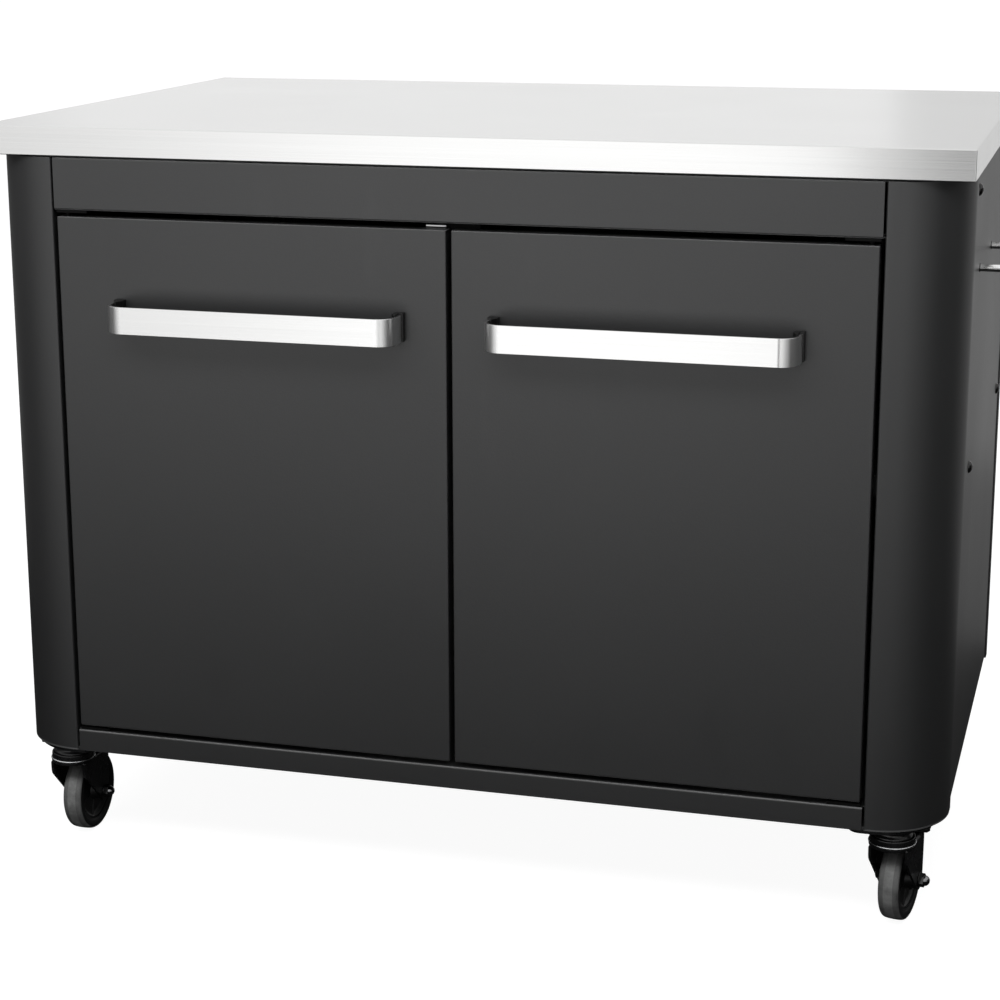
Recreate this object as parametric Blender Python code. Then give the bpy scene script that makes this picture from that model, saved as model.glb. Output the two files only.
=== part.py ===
"""Outdoor kitchen unit: a steel cabinet on swivel casters with two doors and a steel worktop.

Lengths are in metres and +Z is up. The cabinet itself is laid out from its own centre line (x),
its front plane (y = 0, depth towards +y) and the floor (z = 0). place() then moves every point
so that the origin lies on the floor under the middle of the whole object.
"""
import math

import bmesh
import bpy
from mathutils import Matrix, Vector

# Clearances and helpers for joined shapes
FIT = 0.0003               # between pieces that touch
RUN = 0.0003               # round pins and in holes
PAST = 0.010               # how far a cutter runs past the piece that it cuts
BURY = 0.001               # how far shapes that are joined run into each other

# Overall plan of the cabinet
RAIL_HALF = 0.480          # half of the length of the front rails
DEPTH = 0.756              # front plane to back plane
POST_H = 0.7301            # height of posts, side panels and back panel
SHEET = 0.0015
FOLD_R = 0.0024            # outside radius of a fold

# Casters from the floor up. For a corner, o is outward from the rails and d inward from the front
WHEEL_R = 0.050
TYRE_DEPTH = 0.0131        # from the tread down to the hub
TREAD_HALF = 0.0064
TYRE_HALF = 0.0125         # half of the tyre at its widest
TYRE_BEAD_HALF = 0.0110    # half of the tyre at the hub
TYRE_CROWN = (0.0015, 0.0113)   # depth under the tread and half width where the tread rounds off
TYRE_SIDE = 0.0042         # depth under the tread where the tyre is widest
HUB_R = WHEEL_R - TYRE_DEPTH
HUB_BOSS_R = 0.011
HUB_DISH_R = (0.0125, 0.0300)
HUB_DISH_HALF = (0.008, 0.006)
HUB_RIM_IN = 0.0024
HUB_RIM_HALF = 0.0095
WHEEL_GAP = 0.0037         # from the top of the wheel to the underside of the fork head
HEAD_T = 0.004
HEAD_R = 0.0268
RING_T = 0.0022
RING_R = 0.0275
SKIRT_R = 0.0262           # skirt of the fork head round the cup
SKIRT_IN = 0.0008          # from the cup to the skirt
SKIRT_H = 0.0093
CUP_R = 0.0235
CUP_NECK = 0.003
CUP_STEP = (0.0078, 0.0118)     # over the ring
CUP_DROP = 0.0240          # from the ring up to the top of the plate
KING_R = 0.006
KING_UP = 0.0005           # from the underside of the fork head up to the end of the king pin
PLATE_T = 0.004
PLATE_IN = -0.016
PLATE_FRONT = 0.002
PLATE_OUT = 0.084
PLATE_BACK = 0.095
PLATE_BEND_O = 0.010       # where the rounded corner starts
PLATE_CORNER = 0.014       # radius of the inner front corner
PLATE_CORNER_STEPS = 4
PLATE_STEPS = 8
SWIVEL_O = 0.0311
SWIVEL_D = 0.0433
TRAIL = 0.038              # from the swivel axis back to the axle
BOLT_AT = [(-0.006, 0.030), (-0.006, 0.080), (0.070, 0.080), (0.066, 0.042)]
BOLT_R = 0.004
BOLT_HEX = 0.0075
NUT_H = 0.0065
HEAD_H = 0.005             # bolt heads
LEG_IN = 0.020             # inside of the fork legs, from the middle of the wheel
LEG_T = 0.003
LEG_HALF = 0.017           # half of the leg's width at the fork head
LEG_TAPER = (0.001, 0.0147)     # front edge: inward and down from the fork head
LEG_BACK = (0.011, 0.0137)      # back edge: ahead of the axle and down from the fork head
LEG_BOSS_R = 0.012
AXLE_R = 0.004
AXLE_HEX = 0.0072
AXLE_NUT_HEX = 0.0083
AXLE_HEAD_H = 0.005
DOME = [(0.0062, 0.0083), (0.0068, 0.0070), (0.0100, 0.0058), (0.0118, 0.0031)]
HUB_GAP = 0.0004           # between the hub and a fork leg
PEDAL_BACK = 0.006         # pedal axis behind the axle
PEDAL_DOWN = 0.0007        # pedal axis under the top of the fork head
PEDAL_HALF = 0.016
PEDAL_PIN_R = 0.003
PEDAL_PIN_OUT = 0.001
PEDAL_EAR = (0.006, 0.005)      # fork leg round the pedal pin: half length and rise
PEDAL_EAR_BACK = (0.007, 0.008)
PEDAL_SHAPE = [(-0.006, 0.003), (0.004, 0.0035), (0.017, 0.001), (0.041, -0.0085),
               (0.057, -0.0095), (0.0575, -0.012), (0.0405, -0.0115), (0.019, -0.0035),
               (0.015, -0.0068), (0.007, -0.0041), (-0.005, -0.003)]
REST_TURN = {"front_left": -1.0, "front_right": -10.7, "rear_left": 6.0, "rear_right": -5.0}
WHEEL_STEPS = 24
HEAD_STEPS = 16
HEAD_Z = (2 * WHEEL_R + WHEEL_GAP, 2 * WHEEL_R + WHEEL_GAP + HEAD_T)
RING_Z = (HEAD_Z[1] + FIT, HEAD_Z[1] + FIT + RING_T)
PLATE_TOP = RING_Z[1] + CUP_DROP
PEDAL_AXIS = (TRAIL + PEDAL_BACK, HEAD_Z[1] - PEDAL_DOWN)

# Corner posts, in the same o and d
POST_Z0 = PLATE_TOP + FIT
POST_Z1 = POST_Z0 + POST_H
POST_IN = 0.0024           # inner face, a shadow gap away from the rails
POST_OUT = 0.0905          # outer face
POST_R = 0.082             # radius of the rounded corner
POST_T = 0.002
POST_RETURN = 0.045        # flange beside the doors
POST_SIDE = 0.0977         # where the side seam lies
POST_LIP = 0.0285          # flange behind the side seam
ARC_STEPS = 12
GUSSET_T = 0.004
GUSSET_IN = -0.040

# Panels and rails
SIDE_INSET = 0.002         # side panels lie back from the posts
SIDE_FLANGE = 0.020
SIDE_X = RAIL_HALF + POST_OUT - SIDE_INSET
SIDE_Y0 = POST_SIDE + FIT
BOTTOM_RAIL_H = 0.0273
TOP_RAIL_H = 0.0609
TOP_RAIL_Z0 = POST_Z1 - TOP_RAIL_H
RAIL_FLANGE = 0.030
RAIL_END = POST_IN - FIT   # the hidden part of a rail runs on as far as the post
RAIL_STEP = 0.006          # depth of the front part that ends with the rail
FLOOR_Z = POST_Z0 + BOTTOM_RAIL_H
FLOOR_LIP = 0.016
FLOOR_FRONT = RAIL_FLANGE + FIT
POST_GAP = 0.0042          # floor and shelf to the inner face of the posts
NARROW_HALF = RAIL_HALF + POST_IN - POST_GAP
FOLD_GAP = 0.0015          # floor to the folded ends of the side panels
WIDE_Y0 = SIDE_Y0 + SHEET + FOLD_GAP
VENT_X = 0.260             # middle of each group of slots in the back panel
VENT_COUNT = 5
VENT_PITCH = 0.030
VENT_W = 0.008
VENT_H = 0.060
VENT_UP = 0.070            # from the floor pan to the slots

# Shelf on two angles
SHELF_UP = 0.4015          # over the underside of the posts
SHELF_BACK = 0.056         # from the back plane
SHELF_Z = POST_Z0 + SHELF_UP
SHELF_Y = (POST_RETURN, DEPTH - SHELF_BACK)
SHELF_END_GAP = 0.003
SHELF_HALF = SIDE_X - SHEET - SHELF_END_GAP
SHELF_NOTCH = 0.003        # cut back further than the floor
SHELF_WIDE_Y0 = WIDE_Y0 + SHELF_NOTCH
SHELF_LIP = 0.025
BRACKET_W = 0.025
BRACKET_SHY = 0.008        # shorter than the shelf at both ends
BRACKET_Y = (SHELF_WIDE_Y0 + BRACKET_SHY, DEPTH - SHELF_WIDE_Y0 - BRACKET_SHY)

# Worktop
GASKET_T = 0.0011
GASKET_IN = 0.005
GASKET_W = 0.012
GASKET_STEPS = 4
TOP_H = 0.0337
TOP_T = 0.0015
TOP_EDGE_R = 0.0018
TOP_RETURN = 0.022
TOP_Z0 = POST_Z1 + FIT + GASKET_T + FIT
TOP_Z = TOP_Z0 + TOP_H
TOP_OVER = {"side": 0.0031, "front": 0.0015, "back": 0.0025}
TOP_HALF = RAIL_HALF + POST_OUT + TOP_OVER["side"]
TOP_Y = (-TOP_OVER["front"], DEPTH + TOP_OVER["back"])
HAT_W = 0.060
HAT_BRIM = 0.015
HAT_H = 0.025
HAT_SHY = 0.0436           # from each end of the worktop
HAT_HALF = TOP_HALF - HAT_SHY

# Doors
DOOR_MEET = 0.0029         # half of the gap between the doors
DOOR_SIDE = 0.0026         # gap to the end of the rails
DOOR_UNDER = 0.0062        # gap over the bottom rail
DOOR_OVER = 0.0077         # gap under the top rail
DOOR_EDGE = RAIL_HALF - DOOR_SIDE
DOOR_Z = (FLOOR_Z + DOOR_UNDER, TOP_RAIL_Z0 - DOOR_OVER)
DOOR_T = 0.020
DOOR_SKIN = 0.0012
DOOR_EDGE_R = 0.0016
LINER_LIP = 0.005
PIN_R = 0.003
PIN_IN = 0.010             # pin axis from the hinge edge and from the door's face
PIN_REACH = 0.016
SHOULDER_R = 0.005
HINGE_T = 0.003
HINGE_END = 0.002          # from the end of the rails
HINGE_LONG = 0.038
HINGE_X = (RAIL_HALF - HINGE_END - HINGE_LONG, RAIL_HALF - HINGE_END)
HINGE_Y = (0.002, 0.022)

# Door catch
STRIKE_IN = 0.0058         # from the door's free edge
STRIKE_W = 0.0235
STRIKE_X = (DOOR_MEET + STRIKE_IN, DOOR_MEET + STRIKE_IN + STRIKE_W)
STRIKE_H = 0.0275
STRIKE_OVER = {"left": 0.0030, "right": -0.0025}    # top edge, from the top of the door
MAGNET_HALF = 0.031
MAGNET_T = 0.014
MAGNET_H = 0.0314

# Door handles
HANDLE_IN = {"left": 0.0506, "right": 0.0463}       # from the door's free edge
HANDLE_LONG = 0.350
HANDLE_TALL = 0.0318
HANDLE_DOWN = 0.0960       # from the top of the door
HANDLE_Z = (DOOR_Z[1] - HANDLE_DOWN - HANDLE_TALL, DOOR_Z[1] - HANDLE_DOWN)
HANDLE_REACH = 0.045
HANDLE_T = 0.003
HANDLE_R = 0.022
HANDLE_STEPS = 8
FOOT_D = 0.008
FOOT_TALL = 0.020          # tab behind the handle
FOOT_OUT = 0.0022
FOOT_IN = 0.010
FOOT_TAB = 0.006
FOOT_SLOPE = 0.012
FOOT_SHY = 0.0005          # over the handle's lower edge
FOOT_RISE = 0.0015         # over the handle's upper edge

# Side bar
BAR_Y0 = 0.1928
BAR_LONG = 0.1805          # between the axes of its two legs
BAR_DOWN = 0.1170          # under the top of the side panel
BAR_Y = (BAR_Y0, BAR_Y0 + BAR_LONG)
BAR_Z = POST_Z1 - BAR_DOWN
BAR_REACH = 0.058          # axis of the cross piece from the side panel
BAR_R = 0.00425
BAR_BEND = 0.016
BAR_STEPS = 6
BAR_SIDES = 12
BAR_INSIDE = 0.010
BAR_NUT_R = 0.0085
BAR_NUT_H = 0.005

# Screws in the side panels: y and z
SHELF_SCREW_Y0 = 0.163     # from the front plane
SHELF_SCREW_BACK = 0.142   # from the back plane
SHELF_SCREW_DOWN = 0.013   # under the shelf's surface
SHELF_SCREW_Z = SHELF_Z - SHELF_SCREW_DOWN
SCREW_IN = 0.1315
SCREW_DOWN = 0.0216
SCREW_AT = [(SCREW_IN, POST_Z1 - SCREW_DOWN), (DEPTH - SCREW_IN, POST_Z1 - SCREW_DOWN),
            (SHELF_SCREW_Y0, SHELF_SCREW_Z), (DEPTH - SHELF_SCREW_BACK, SHELF_SCREW_Z)]
SCREW_R = 0.0027
SCREW_HEAD_R = 0.007
SCREW_HEAD_H = 0.0044
SCREW_EDGE_H = 0.0018      # height of the head at its rim
SCREW_EDGE_IN = 0.0003
SCREW_TOP_R = 0.0036
SCREW_NUT_R = 0.0058
SCREW_NUT_H = 0.005

# Origin on the floor, under the middle of the whole object
BAR_TIP = SIDE_X + BAR_REACH + BAR_R
REAR_TURNS = [math.radians(abs(REST_TURN[c])) for c in ("rear_left", "rear_right")]
REAR_REACH = [math.cos(a) * (TRAIL + WHEEL_R) + math.sin(a) * TREAD_HALF for a in REAR_TURNS]
WHEEL_BACK = DEPTH - SWIVEL_D + max(REAR_REACH)
X_MID = (BAR_TIP - TOP_HALF) / 2
Y_MID = (WHEEL_BACK - HANDLE_REACH) / 2

LOOKS = {                  # base colour, metallic, roughness
    "coat": ((0.045, 0.046, 0.047), 0.25, 0.48),
    "coat_inner": ((0.040, 0.041, 0.042), 0.2, 0.55),
    "steel": ((0.76, 0.76, 0.75), 1.0, 0.30),
    "zinc": ((0.62, 0.63, 0.64), 1.0, 0.35),
    "black_steel": ((0.025, 0.025, 0.026), 0.6, 0.38),
    "plastic": ((0.018, 0.018, 0.018), 0.0, 0.50),
    "rubber": ((0.085, 0.088, 0.088), 0.0, 0.75),
}

for old in list(bpy.data.objects):
    bpy.data.objects.remove(old, do_unlink=True)


def place(x, y, z):
    """A point of the cabinet's own layout, in the finished part's frame."""
    return Vector((x - X_MID, y - Y_MID, z))


def look(name, kind):
    """A material of its own for one piece."""
    colour, metal, rough = LOOKS[kind]
    mat = bpy.data.materials.new(name)
    mat.use_nodes = True
    shader = mat.node_tree.nodes["Principled BSDF"]
    shader.inputs["Base Color"].default_value = (*colour, 1.0)
    shader.inputs["Metallic"].default_value = metal
    shader.inputs["Roughness"].default_value = rough
    return mat


def new_object(name, bm, kind=None):
    """An object from a bmesh; without a kind it is a tool for a cut or a union."""
    mesh = bpy.data.meshes.new(name)
    bmesh.ops.remove_doubles(bm, verts=bm.verts, dist=1e-7)
    bm.to_mesh(mesh)
    bm.free()
    obj = bpy.data.objects.new(name, mesh)
    bpy.context.collection.objects.link(obj)
    if kind:
        mesh.materials.append(look(name, kind))
    else:
        obj.hide_render = True
        obj.display_type = "WIRE"
    return obj


def settle(obj):
    """Turn the modifiers into mesh and shade the round parts smooth."""
    graph = bpy.context.evaluated_depsgraph_get()
    mesh = bpy.data.meshes.new_from_object(obj.evaluated_get(graph))
    obj.modifiers.clear()
    obj.data = mesh
    mesh.name = obj.name
    mesh.shade_smooth()
    mesh.set_sharp_from_angle(angle=math.radians(35))
    return obj


def combine(obj, tools, operation):
    """Cut the tools out of a piece or join them to it."""
    for tool in tools:
        step = obj.modifiers.new("shape", "BOOLEAN")
        step.operation = operation
        step.solver = "EXACT"
        step.object = tool
    settle(obj)
    for tool in tools:
        bpy.data.objects.remove(tool, do_unlink=True)
    return obj


def copy_to(name, source, kind, at, turn=0.0):
    """A further object on the mesh of another, with a material of its own."""
    mesh = source.data.copy()
    mesh.name = name
    mesh.materials.clear()
    mesh.materials.append(look(name, kind))
    obj = bpy.data.objects.new(name, mesh)
    bpy.context.collection.objects.link(obj)
    obj.location = at
    obj.rotation_euler = (0.0, 0.0, math.radians(turn))
    return obj


def own_origin(obj, point):
    """Put a piece's origin on a point without moving its surface."""
    obj.data.transform(Matrix.Translation(-Vector(point)))
    obj.location = point
    return obj


def map_axes(axis, a, b, h):
    """Plane coordinates a, b and height h along an axis, as x, y, z."""
    return {"X": (h, a, b), "Y": (a, h, b), "Z": (a, b, h)}[axis]


def prism(outline, axis, h0, h1):
    """A closed solid: an outline drawn across an axis and extruded along it."""
    bm = bmesh.new()
    loop = [bm.verts.new(map_axes(axis, a, b, h0)) for a, b in outline]
    face = bm.faces.new(loop)
    moved = bmesh.ops.extrude_face_region(bm, geom=[face])
    shift = Vector(map_axes(axis, 0.0, 0.0, h1 - h0))
    verts = [v for v in moved["geom"] if isinstance(v, bmesh.types.BMVert)]
    bmesh.ops.translate(bm, verts=verts, vec=shift)
    bmesh.ops.recalc_face_normals(bm, faces=bm.faces)
    return bm


def box(low, high):
    """A closed box between two corners."""
    (x0, y0, z0), (x1, y1, z1) = low, high
    return prism([(x0, y0), (x1, y0), (x1, y1), (x0, y1)], "Z", z0, z1)


def to_place(bm):
    """Move a solid from the cabinet's layout into the part's frame."""
    bmesh.ops.translate(bm, verts=bm.verts, vec=place(0, 0, 0))
    return bm


def arc(centre, radius, start, end, steps):
    """Points on an arc, angles in degrees."""
    points = []
    for i in range(steps + 1):
        angle = math.radians(start + (end - start) * i / steps)
        points.append((centre[0] + radius * math.cos(angle), centre[1] + radius * math.sin(angle)))
    return points


def soften(path, radius, steps=2):
    """Replace the inner corners of an open path with small arcs."""
    points = [path[0]]
    for before, corner, after in zip(path, path[1:], path[2:]):
        p, q, r = Vector(before), Vector(corner), Vector(after)
        a, b = (p - q).normalized(), (r - q).normalized()
        half = a.angle(b) / 2
        reach = radius / math.tan(half)
        middle = q + (a + b).normalized() * radius / math.sin(half)
        start, end = q + a * reach - middle, q + b * reach - middle
        sweep = start.angle_signed(end)
        for i in range(steps + 1):
            points.append(tuple(middle + Matrix.Rotation(-sweep * i / steps, 2) @ start))
    points.append(path[-1])
    return points


def ribbon(path, thickness):
    """Outline of a sheet that follows a path and lies on the path's left side."""
    inner = []
    for i, point in enumerate(path):
        p = Vector(point)
        a = (p - Vector(path[i - 1])).normalized() if i else None
        b = (Vector(path[i + 1]) - p).normalized() if i + 1 < len(path) else None
        a, b = a or b, b or a
        na, nb = Vector((-a.y, a.x)), Vector((-b.y, b.x))
        n = (na + nb).normalized()
        inner.append(tuple(p + n * thickness / n.dot(na)))
    return list(path) + inner[::-1]


def tray(name, outline, axis, h0, h1, open_end, thickness, kind, edge_r=0.0):
    """A folded tray: an extruded outline, open at h0 or h1, made of sheet inside that shape."""
    bm = prism(outline, axis, h0, h1)
    index = "XYZ".index(axis)
    gone = [f for f in bm.faces if all(abs(v.co[index] - open_end) < 1e-6 for v in f.verts)]
    bmesh.ops.delete(bm, geom=gone, context="FACES_ONLY")
    obj = new_object(name, to_place(bm), kind)
    if edge_r:
        rounding = obj.modifiers.new("edges", "BEVEL")
        rounding.width = edge_r
        rounding.segments = 2
        rounding.limit_method = "ANGLE"
    sheet = obj.modifiers.new("sheet", "SOLIDIFY")
    sheet.thickness = thickness
    sheet.offset = -1.0
    sheet.use_even_offset = True
    return settle(obj)


def rect(a0, a1, b0, b1):
    return [(a0, b0), (a1, b0), (a1, b1), (a0, b1)]


def turned(profile, axis, steps):
    """A turned ring: a closed profile of (radius, height) spun round an axis through zero."""
    bm = bmesh.new()
    verts = [bm.verts.new(map_axes(axis, r, 0.0, h)) for r, h in profile]
    edges = [bm.edges.new((verts[i - 1], verts[i])) for i in range(len(verts))]
    spin_axis = Vector(map_axes(axis, 0.0, 0.0, 1.0))
    bmesh.ops.spin(bm, geom=verts + edges, cent=(0, 0, 0), axis=spin_axis,
                   angle=math.tau, steps=steps, use_merge=True)
    bmesh.ops.remove_doubles(bm, verts=bm.verts, dist=1e-6)
    bmesh.ops.recalc_face_normals(bm, faces=bm.faces)
    return bm


def lofted(sections, axis, centre):
    """Coaxial sections (height, radius, six-sided or not) joined into one closed solid."""
    bm = bmesh.new()
    rings = []
    for height, radius, six in sections:
        ring = []
        for i in range(12):
            angle = math.tau * i / 12
            r = radius * (math.cos(math.tau / 12) if six and i % 2 else 1.0)
            offset = map_axes(axis, r * math.cos(angle), r * math.sin(angle), height)
            ring.append(bm.verts.new(Vector(centre) + Vector(offset)))
        rings.append(ring)
    for low, high in zip(rings, rings[1:]):
        for i in range(12):
            bm.faces.new((low[i - 1], low[i], high[i], high[i - 1]))
    bm.faces.new(rings[0])
    bm.faces.new(rings[-1])
    bmesh.ops.recalc_face_normals(bm, faces=bm.faces)
    return bm


def merged(parts):
    """Several separate solids in one mesh."""
    whole = bmesh.new()
    for part in parts:
        mesh = bpy.data.meshes.new("part")
        part.to_mesh(mesh)
        part.free()
        whole.from_mesh(mesh)
        bpy.data.meshes.remove(mesh)
    return whole


def drill(obj, points, axis, radius, h0, h1):
    """Round holes through a piece, along one axis."""
    pegs = [lofted([(h0, radius, False), (h1, radius, False)], axis, p) for p in points]
    return combine(obj, [new_object("drill", merged(pegs))], "DIFFERENCE")


def corner(sx, rear, o, d):
    """Outward and inward distances at one corner, as x and y of the layout."""
    return sx * (RAIL_HALF + o), (DEPTH - d if rear else d)


def mirrored(points, sx, rear):
    return [corner(sx, rear, o, d) for o, d in points]


CORNERS = [("front_left", -1, False), ("front_right", 1, False),
           ("rear_left", -1, True), ("rear_right", 1, True)]


# Corner posts: folded sheet with a large rounded corner, a flange beside the doors and a lip
# behind the side seam, with a welded gusset in the foot for the caster
def make_posts():
    flat_end = POST_OUT - POST_R
    path = [(POST_IN, POST_RETURN), (POST_IN, 0.0), (flat_end, 0.0)]
    path = soften(path, FOLD_R)
    path += arc((flat_end, POST_R), POST_R, -90, 0, ARC_STEPS)[1:]
    rear_part = soften([path[-1], (POST_OUT, POST_SIDE), (POST_OUT - POST_LIP, POST_SIDE)], FOLD_R)
    sheet = ribbon(path + rear_part[1:], POST_T)
    weld = POST_T / 2
    edge = SHEET + FIT
    gusset = [(GUSSET_IN, edge), (POST_IN + weld, edge), (POST_IN + weld, weld), (flat_end, weld)]
    gusset += arc((flat_end, POST_R), POST_R - weld, -90, 0, ARC_STEPS)[1:]
    gusset += [(POST_OUT - weld, POST_SIDE - weld), (GUSSET_IN, POST_SIDE - weld)]
    for name, sx, rear in CORNERS:
        post = prism(mirrored(sheet, sx, rear), "Z", POST_Z0, POST_Z1)
        post = new_object("post_" + name, to_place(post), "coat")
        foot = prism(mirrored(gusset, sx, rear), "Z", POST_Z0, POST_Z0 + GUSSET_T)
        combine(post, [new_object("gusset", to_place(foot))], "UNION")
        holes = [place(*xy, 0.0) for xy in mirrored(BOLT_AT, sx, rear)]
        drill(post, holes, "Z", BOLT_R + RUN, POST_Z0 - PAST, POST_Z0 + PAST)


# Front rails: folded channels whose hidden ends run on to the posts
def make_front_rails():
    top = [(RAIL_FLANGE, POST_Z1), (0.0, POST_Z1), (0.0, TOP_RAIL_Z0), (RAIL_FLANGE, TOP_RAIL_Z0)]
    bottom = [(RAIL_FLANGE, FLOOR_Z), (0.0, FLOOR_Z), (0.0, POST_Z0)]
    half = RAIL_HALF + RAIL_END
    for name, path in (("top_rail_front", top), ("bottom_rail_front", bottom)):
        bm = prism(ribbon(soften(path, FOLD_R), SHEET), "X", -half, half)
        rail = new_object(name, to_place(bm), "coat")
        cuts = []
        for sx in (-1, 1):
            low, high = sorted((sx * RAIL_HALF, sx * (half + PAST)))
            cut = box((low, -PAST, POST_Z0 - PAST), (high, RAIL_STEP, POST_Z1 + PAST))
            cuts.append(new_object("cut", to_place(cut)))
        combine(rail, cuts, "DIFFERENCE")


def side_screws(sx):
    """Button-head screws with their nuts inside, for one side panel."""
    screws = []
    face = SIDE_X - SHEET / 2
    for y, z in SCREW_AT:
        through = SIDE_X - 2 * SHEET - 2 * FIT if z == SHELF_SCREW_Z else face
        sections = [(through - SCREW_NUT_H, SCREW_NUT_R, True), (through, SCREW_NUT_R, True),
                    (through, SCREW_R, False), (face, SCREW_R, False),
                    (face, SCREW_HEAD_R, False),
                    (SIDE_X + SCREW_EDGE_H, SCREW_HEAD_R - SCREW_EDGE_IN, False),
                    (SIDE_X + SCREW_HEAD_H, SCREW_TOP_R, False)]
        if through == face:
            del sections[2:5]
        screws.append(lofted([(sx * h, r, six) for h, r, six in sections], "X", (0, y, z)))
    return new_object("screws", to_place(merged(screws)))


# Side panels and back panel: shallow trays between the posts
def make_panels():
    side_outline = rect(SIDE_Y0, DEPTH - SIDE_Y0, POST_Z0, POST_Z1)
    for name, sx in (("left", -1), ("right", 1)):
        inner = sx * (SIDE_X - SIDE_FLANGE)
        panel = tray("side_panel_" + name, side_outline, "X", inner, sx * SIDE_X, inner,
                     SHEET, "coat", FOLD_R)
        combine(panel, [side_screws(sx)], "UNION")
    bar_holes = [place(0.0, y, BAR_Z) for y in BAR_Y]
    drill(panel, bar_holes, "X", BAR_R + FIT, SIDE_X - PAST, SIDE_X + PAST)
    half = RAIL_HALF + POST_IN - FIT
    z0 = POST_Z0 + GUSSET_T + FIT
    back = tray("back_panel", rect(-half, half, z0, POST_Z1), "Y", DEPTH - SIDE_FLANGE, DEPTH,
                DEPTH - SIDE_FLANGE, SHEET, "coat_inner", FOLD_R)
    slots = []
    vent_z = FLOOR_Z + VENT_UP
    for middle in (-VENT_X, VENT_X):
        for i in range(VENT_COUNT):
            x0 = middle + (i - (VENT_COUNT - 1) / 2) * VENT_PITCH - VENT_W / 2
            slot = box((x0, DEPTH - PAST, vent_z), (x0 + VENT_W, DEPTH + PAST, vent_z + VENT_H))
            slots.append(to_place(slot))
    combine(back, [new_object("slots", merged(slots))], "DIFFERENCE")


def stepped_outline(y0, y1, wide_y0, narrow, wide):
    """A rectangle between the sides with its four corners cut back for the posts."""
    half = [(narrow, y0), (narrow, wide_y0), (wide, wide_y0), (wide, DEPTH - wide_y0),
            (narrow, DEPTH - wide_y0), (narrow, y1)]
    return half + [(-x, y) for x, y in half[::-1]]


# Floor: a tray with its edges folded down, cut back round the posts
def make_floor():
    outline = stepped_outline(FLOOR_FRONT, DEPTH - SHEET - FIT, WIDE_Y0, NARROW_HALF,
                              SIDE_X - SHEET - FIT)
    low = FLOOR_Z - FLOOR_LIP
    tray("floor_pan", outline, "Z", low, FLOOR_Z, low, SHEET, "coat_inner")


# Shelf: folded down in front and at the back, notched for the posts, on two angles
def make_shelf():
    front, back = SHELF_Y
    low = SHELF_Z - SHELF_LIP
    path = [(back, low), (back, SHELF_Z), (front, SHELF_Z), (front, low)]
    bm = prism(ribbon(soften(path, FOLD_R), SHEET), "X", -SHELF_HALF, SHELF_HALF)
    shelf = new_object("shelf", to_place(bm), "coat_inner")
    cuts = []
    for sx in (-1, 1):
        x0, x1 = sorted((sx * NARROW_HALF, sx * (SHELF_HALF + PAST)))
        for y0, y1 in ((0.0, SHELF_WIDE_Y0), (DEPTH - SHELF_WIDE_Y0, DEPTH)):
            cut = box((x0, y0, low - PAST), (x1, y1, SHELF_Z + PAST))
            cuts.append(new_object("cut", to_place(cut)))
    combine(shelf, cuts, "DIFFERENCE")
    rest = SHELF_Z - SHEET - FIT
    wall = SIDE_X - SHEET - FIT
    for name, sx in (("left", -1), ("right", 1)):
        path = [(sx * (wall - BRACKET_W), rest), (sx * wall, rest), (sx * wall, rest - BRACKET_W)]
        outline = ribbon(soften(path, FOLD_R), -sx * SHEET)
        angle = new_object("shelf_bracket_" + name, to_place(prism(outline, "Y", *BRACKET_Y)), "zinc")
        holes = [place(0.0, y, z) for y, z in SCREW_AT if z == SHELF_SCREW_Z]
        drill(angle, holes, "X", SCREW_R + RUN, -SIDE_X - PAST, SIDE_X + PAST)


# Worktop: a folded steel shell with a stiffener under it, on a thin gasket
def make_worktop():
    bm = prism(rect(-TOP_HALF, TOP_HALF, *TOP_Y), "Z", TOP_Z0, TOP_Z)
    under = [f for f in bm.faces if f.normal.z < -0.5]
    bmesh.ops.inset_region(bm, faces=under, thickness=TOP_RETURN, use_even_offset=True)
    bmesh.ops.delete(bm, geom=under, context="FACES_ONLY")
    top = new_object("worktop", to_place(bm), "steel")
    rounding = top.modifiers.new("edges", "BEVEL")
    rounding.width = TOP_EDGE_R
    rounding.segments = 2
    rounding.limit_method = "ANGLE"
    sheet = top.modifiers.new("sheet", "SOLIDIFY")
    sheet.thickness = TOP_T
    sheet.offset = -1.0
    sheet.use_even_offset = True
    settle(top)
    z1 = TOP_Z - TOP_T - FIT
    z0 = z1 - HAT_H
    a, b = DEPTH / 2 - HAT_W / 2, DEPTH / 2 + HAT_W / 2
    path = [(a, z1), (a + HAT_BRIM, z1), (a + HAT_BRIM, z0), (b - HAT_BRIM, z0),
            (b - HAT_BRIM, z1), (b, z1)]
    hat = prism(ribbon(soften(path, FOLD_R), -SHEET), "X", -HAT_HALF, HAT_HALF)
    settle(new_object("worktop_stiffener", to_place(hat), "zinc"))

    outer, inner = [], []
    for sx, rear, start in ((1, False, -90), (1, True, 0), (-1, True, 90), (-1, False, 180)):
        x, y = corner(sx, rear, POST_OUT - POST_R, POST_R)
        radius = POST_R - GASKET_IN
        outer += arc((x, y), radius, start, start + 90, GASKET_STEPS)
        inner += arc((x, y), radius - GASKET_W, start, start + 90, GASKET_STEPS)
    gasket = prism(outer, "Z", POST_Z1 + FIT, TOP_Z0 - FIT)
    gasket = new_object("worktop_gasket", to_place(gasket), "rubber")
    hollow = prism(inner, "Z", POST_Z1 - PAST, TOP_Z0 + PAST)
    combine(gasket, [new_object("hollow", to_place(hollow))], "DIFFERENCE")


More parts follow.
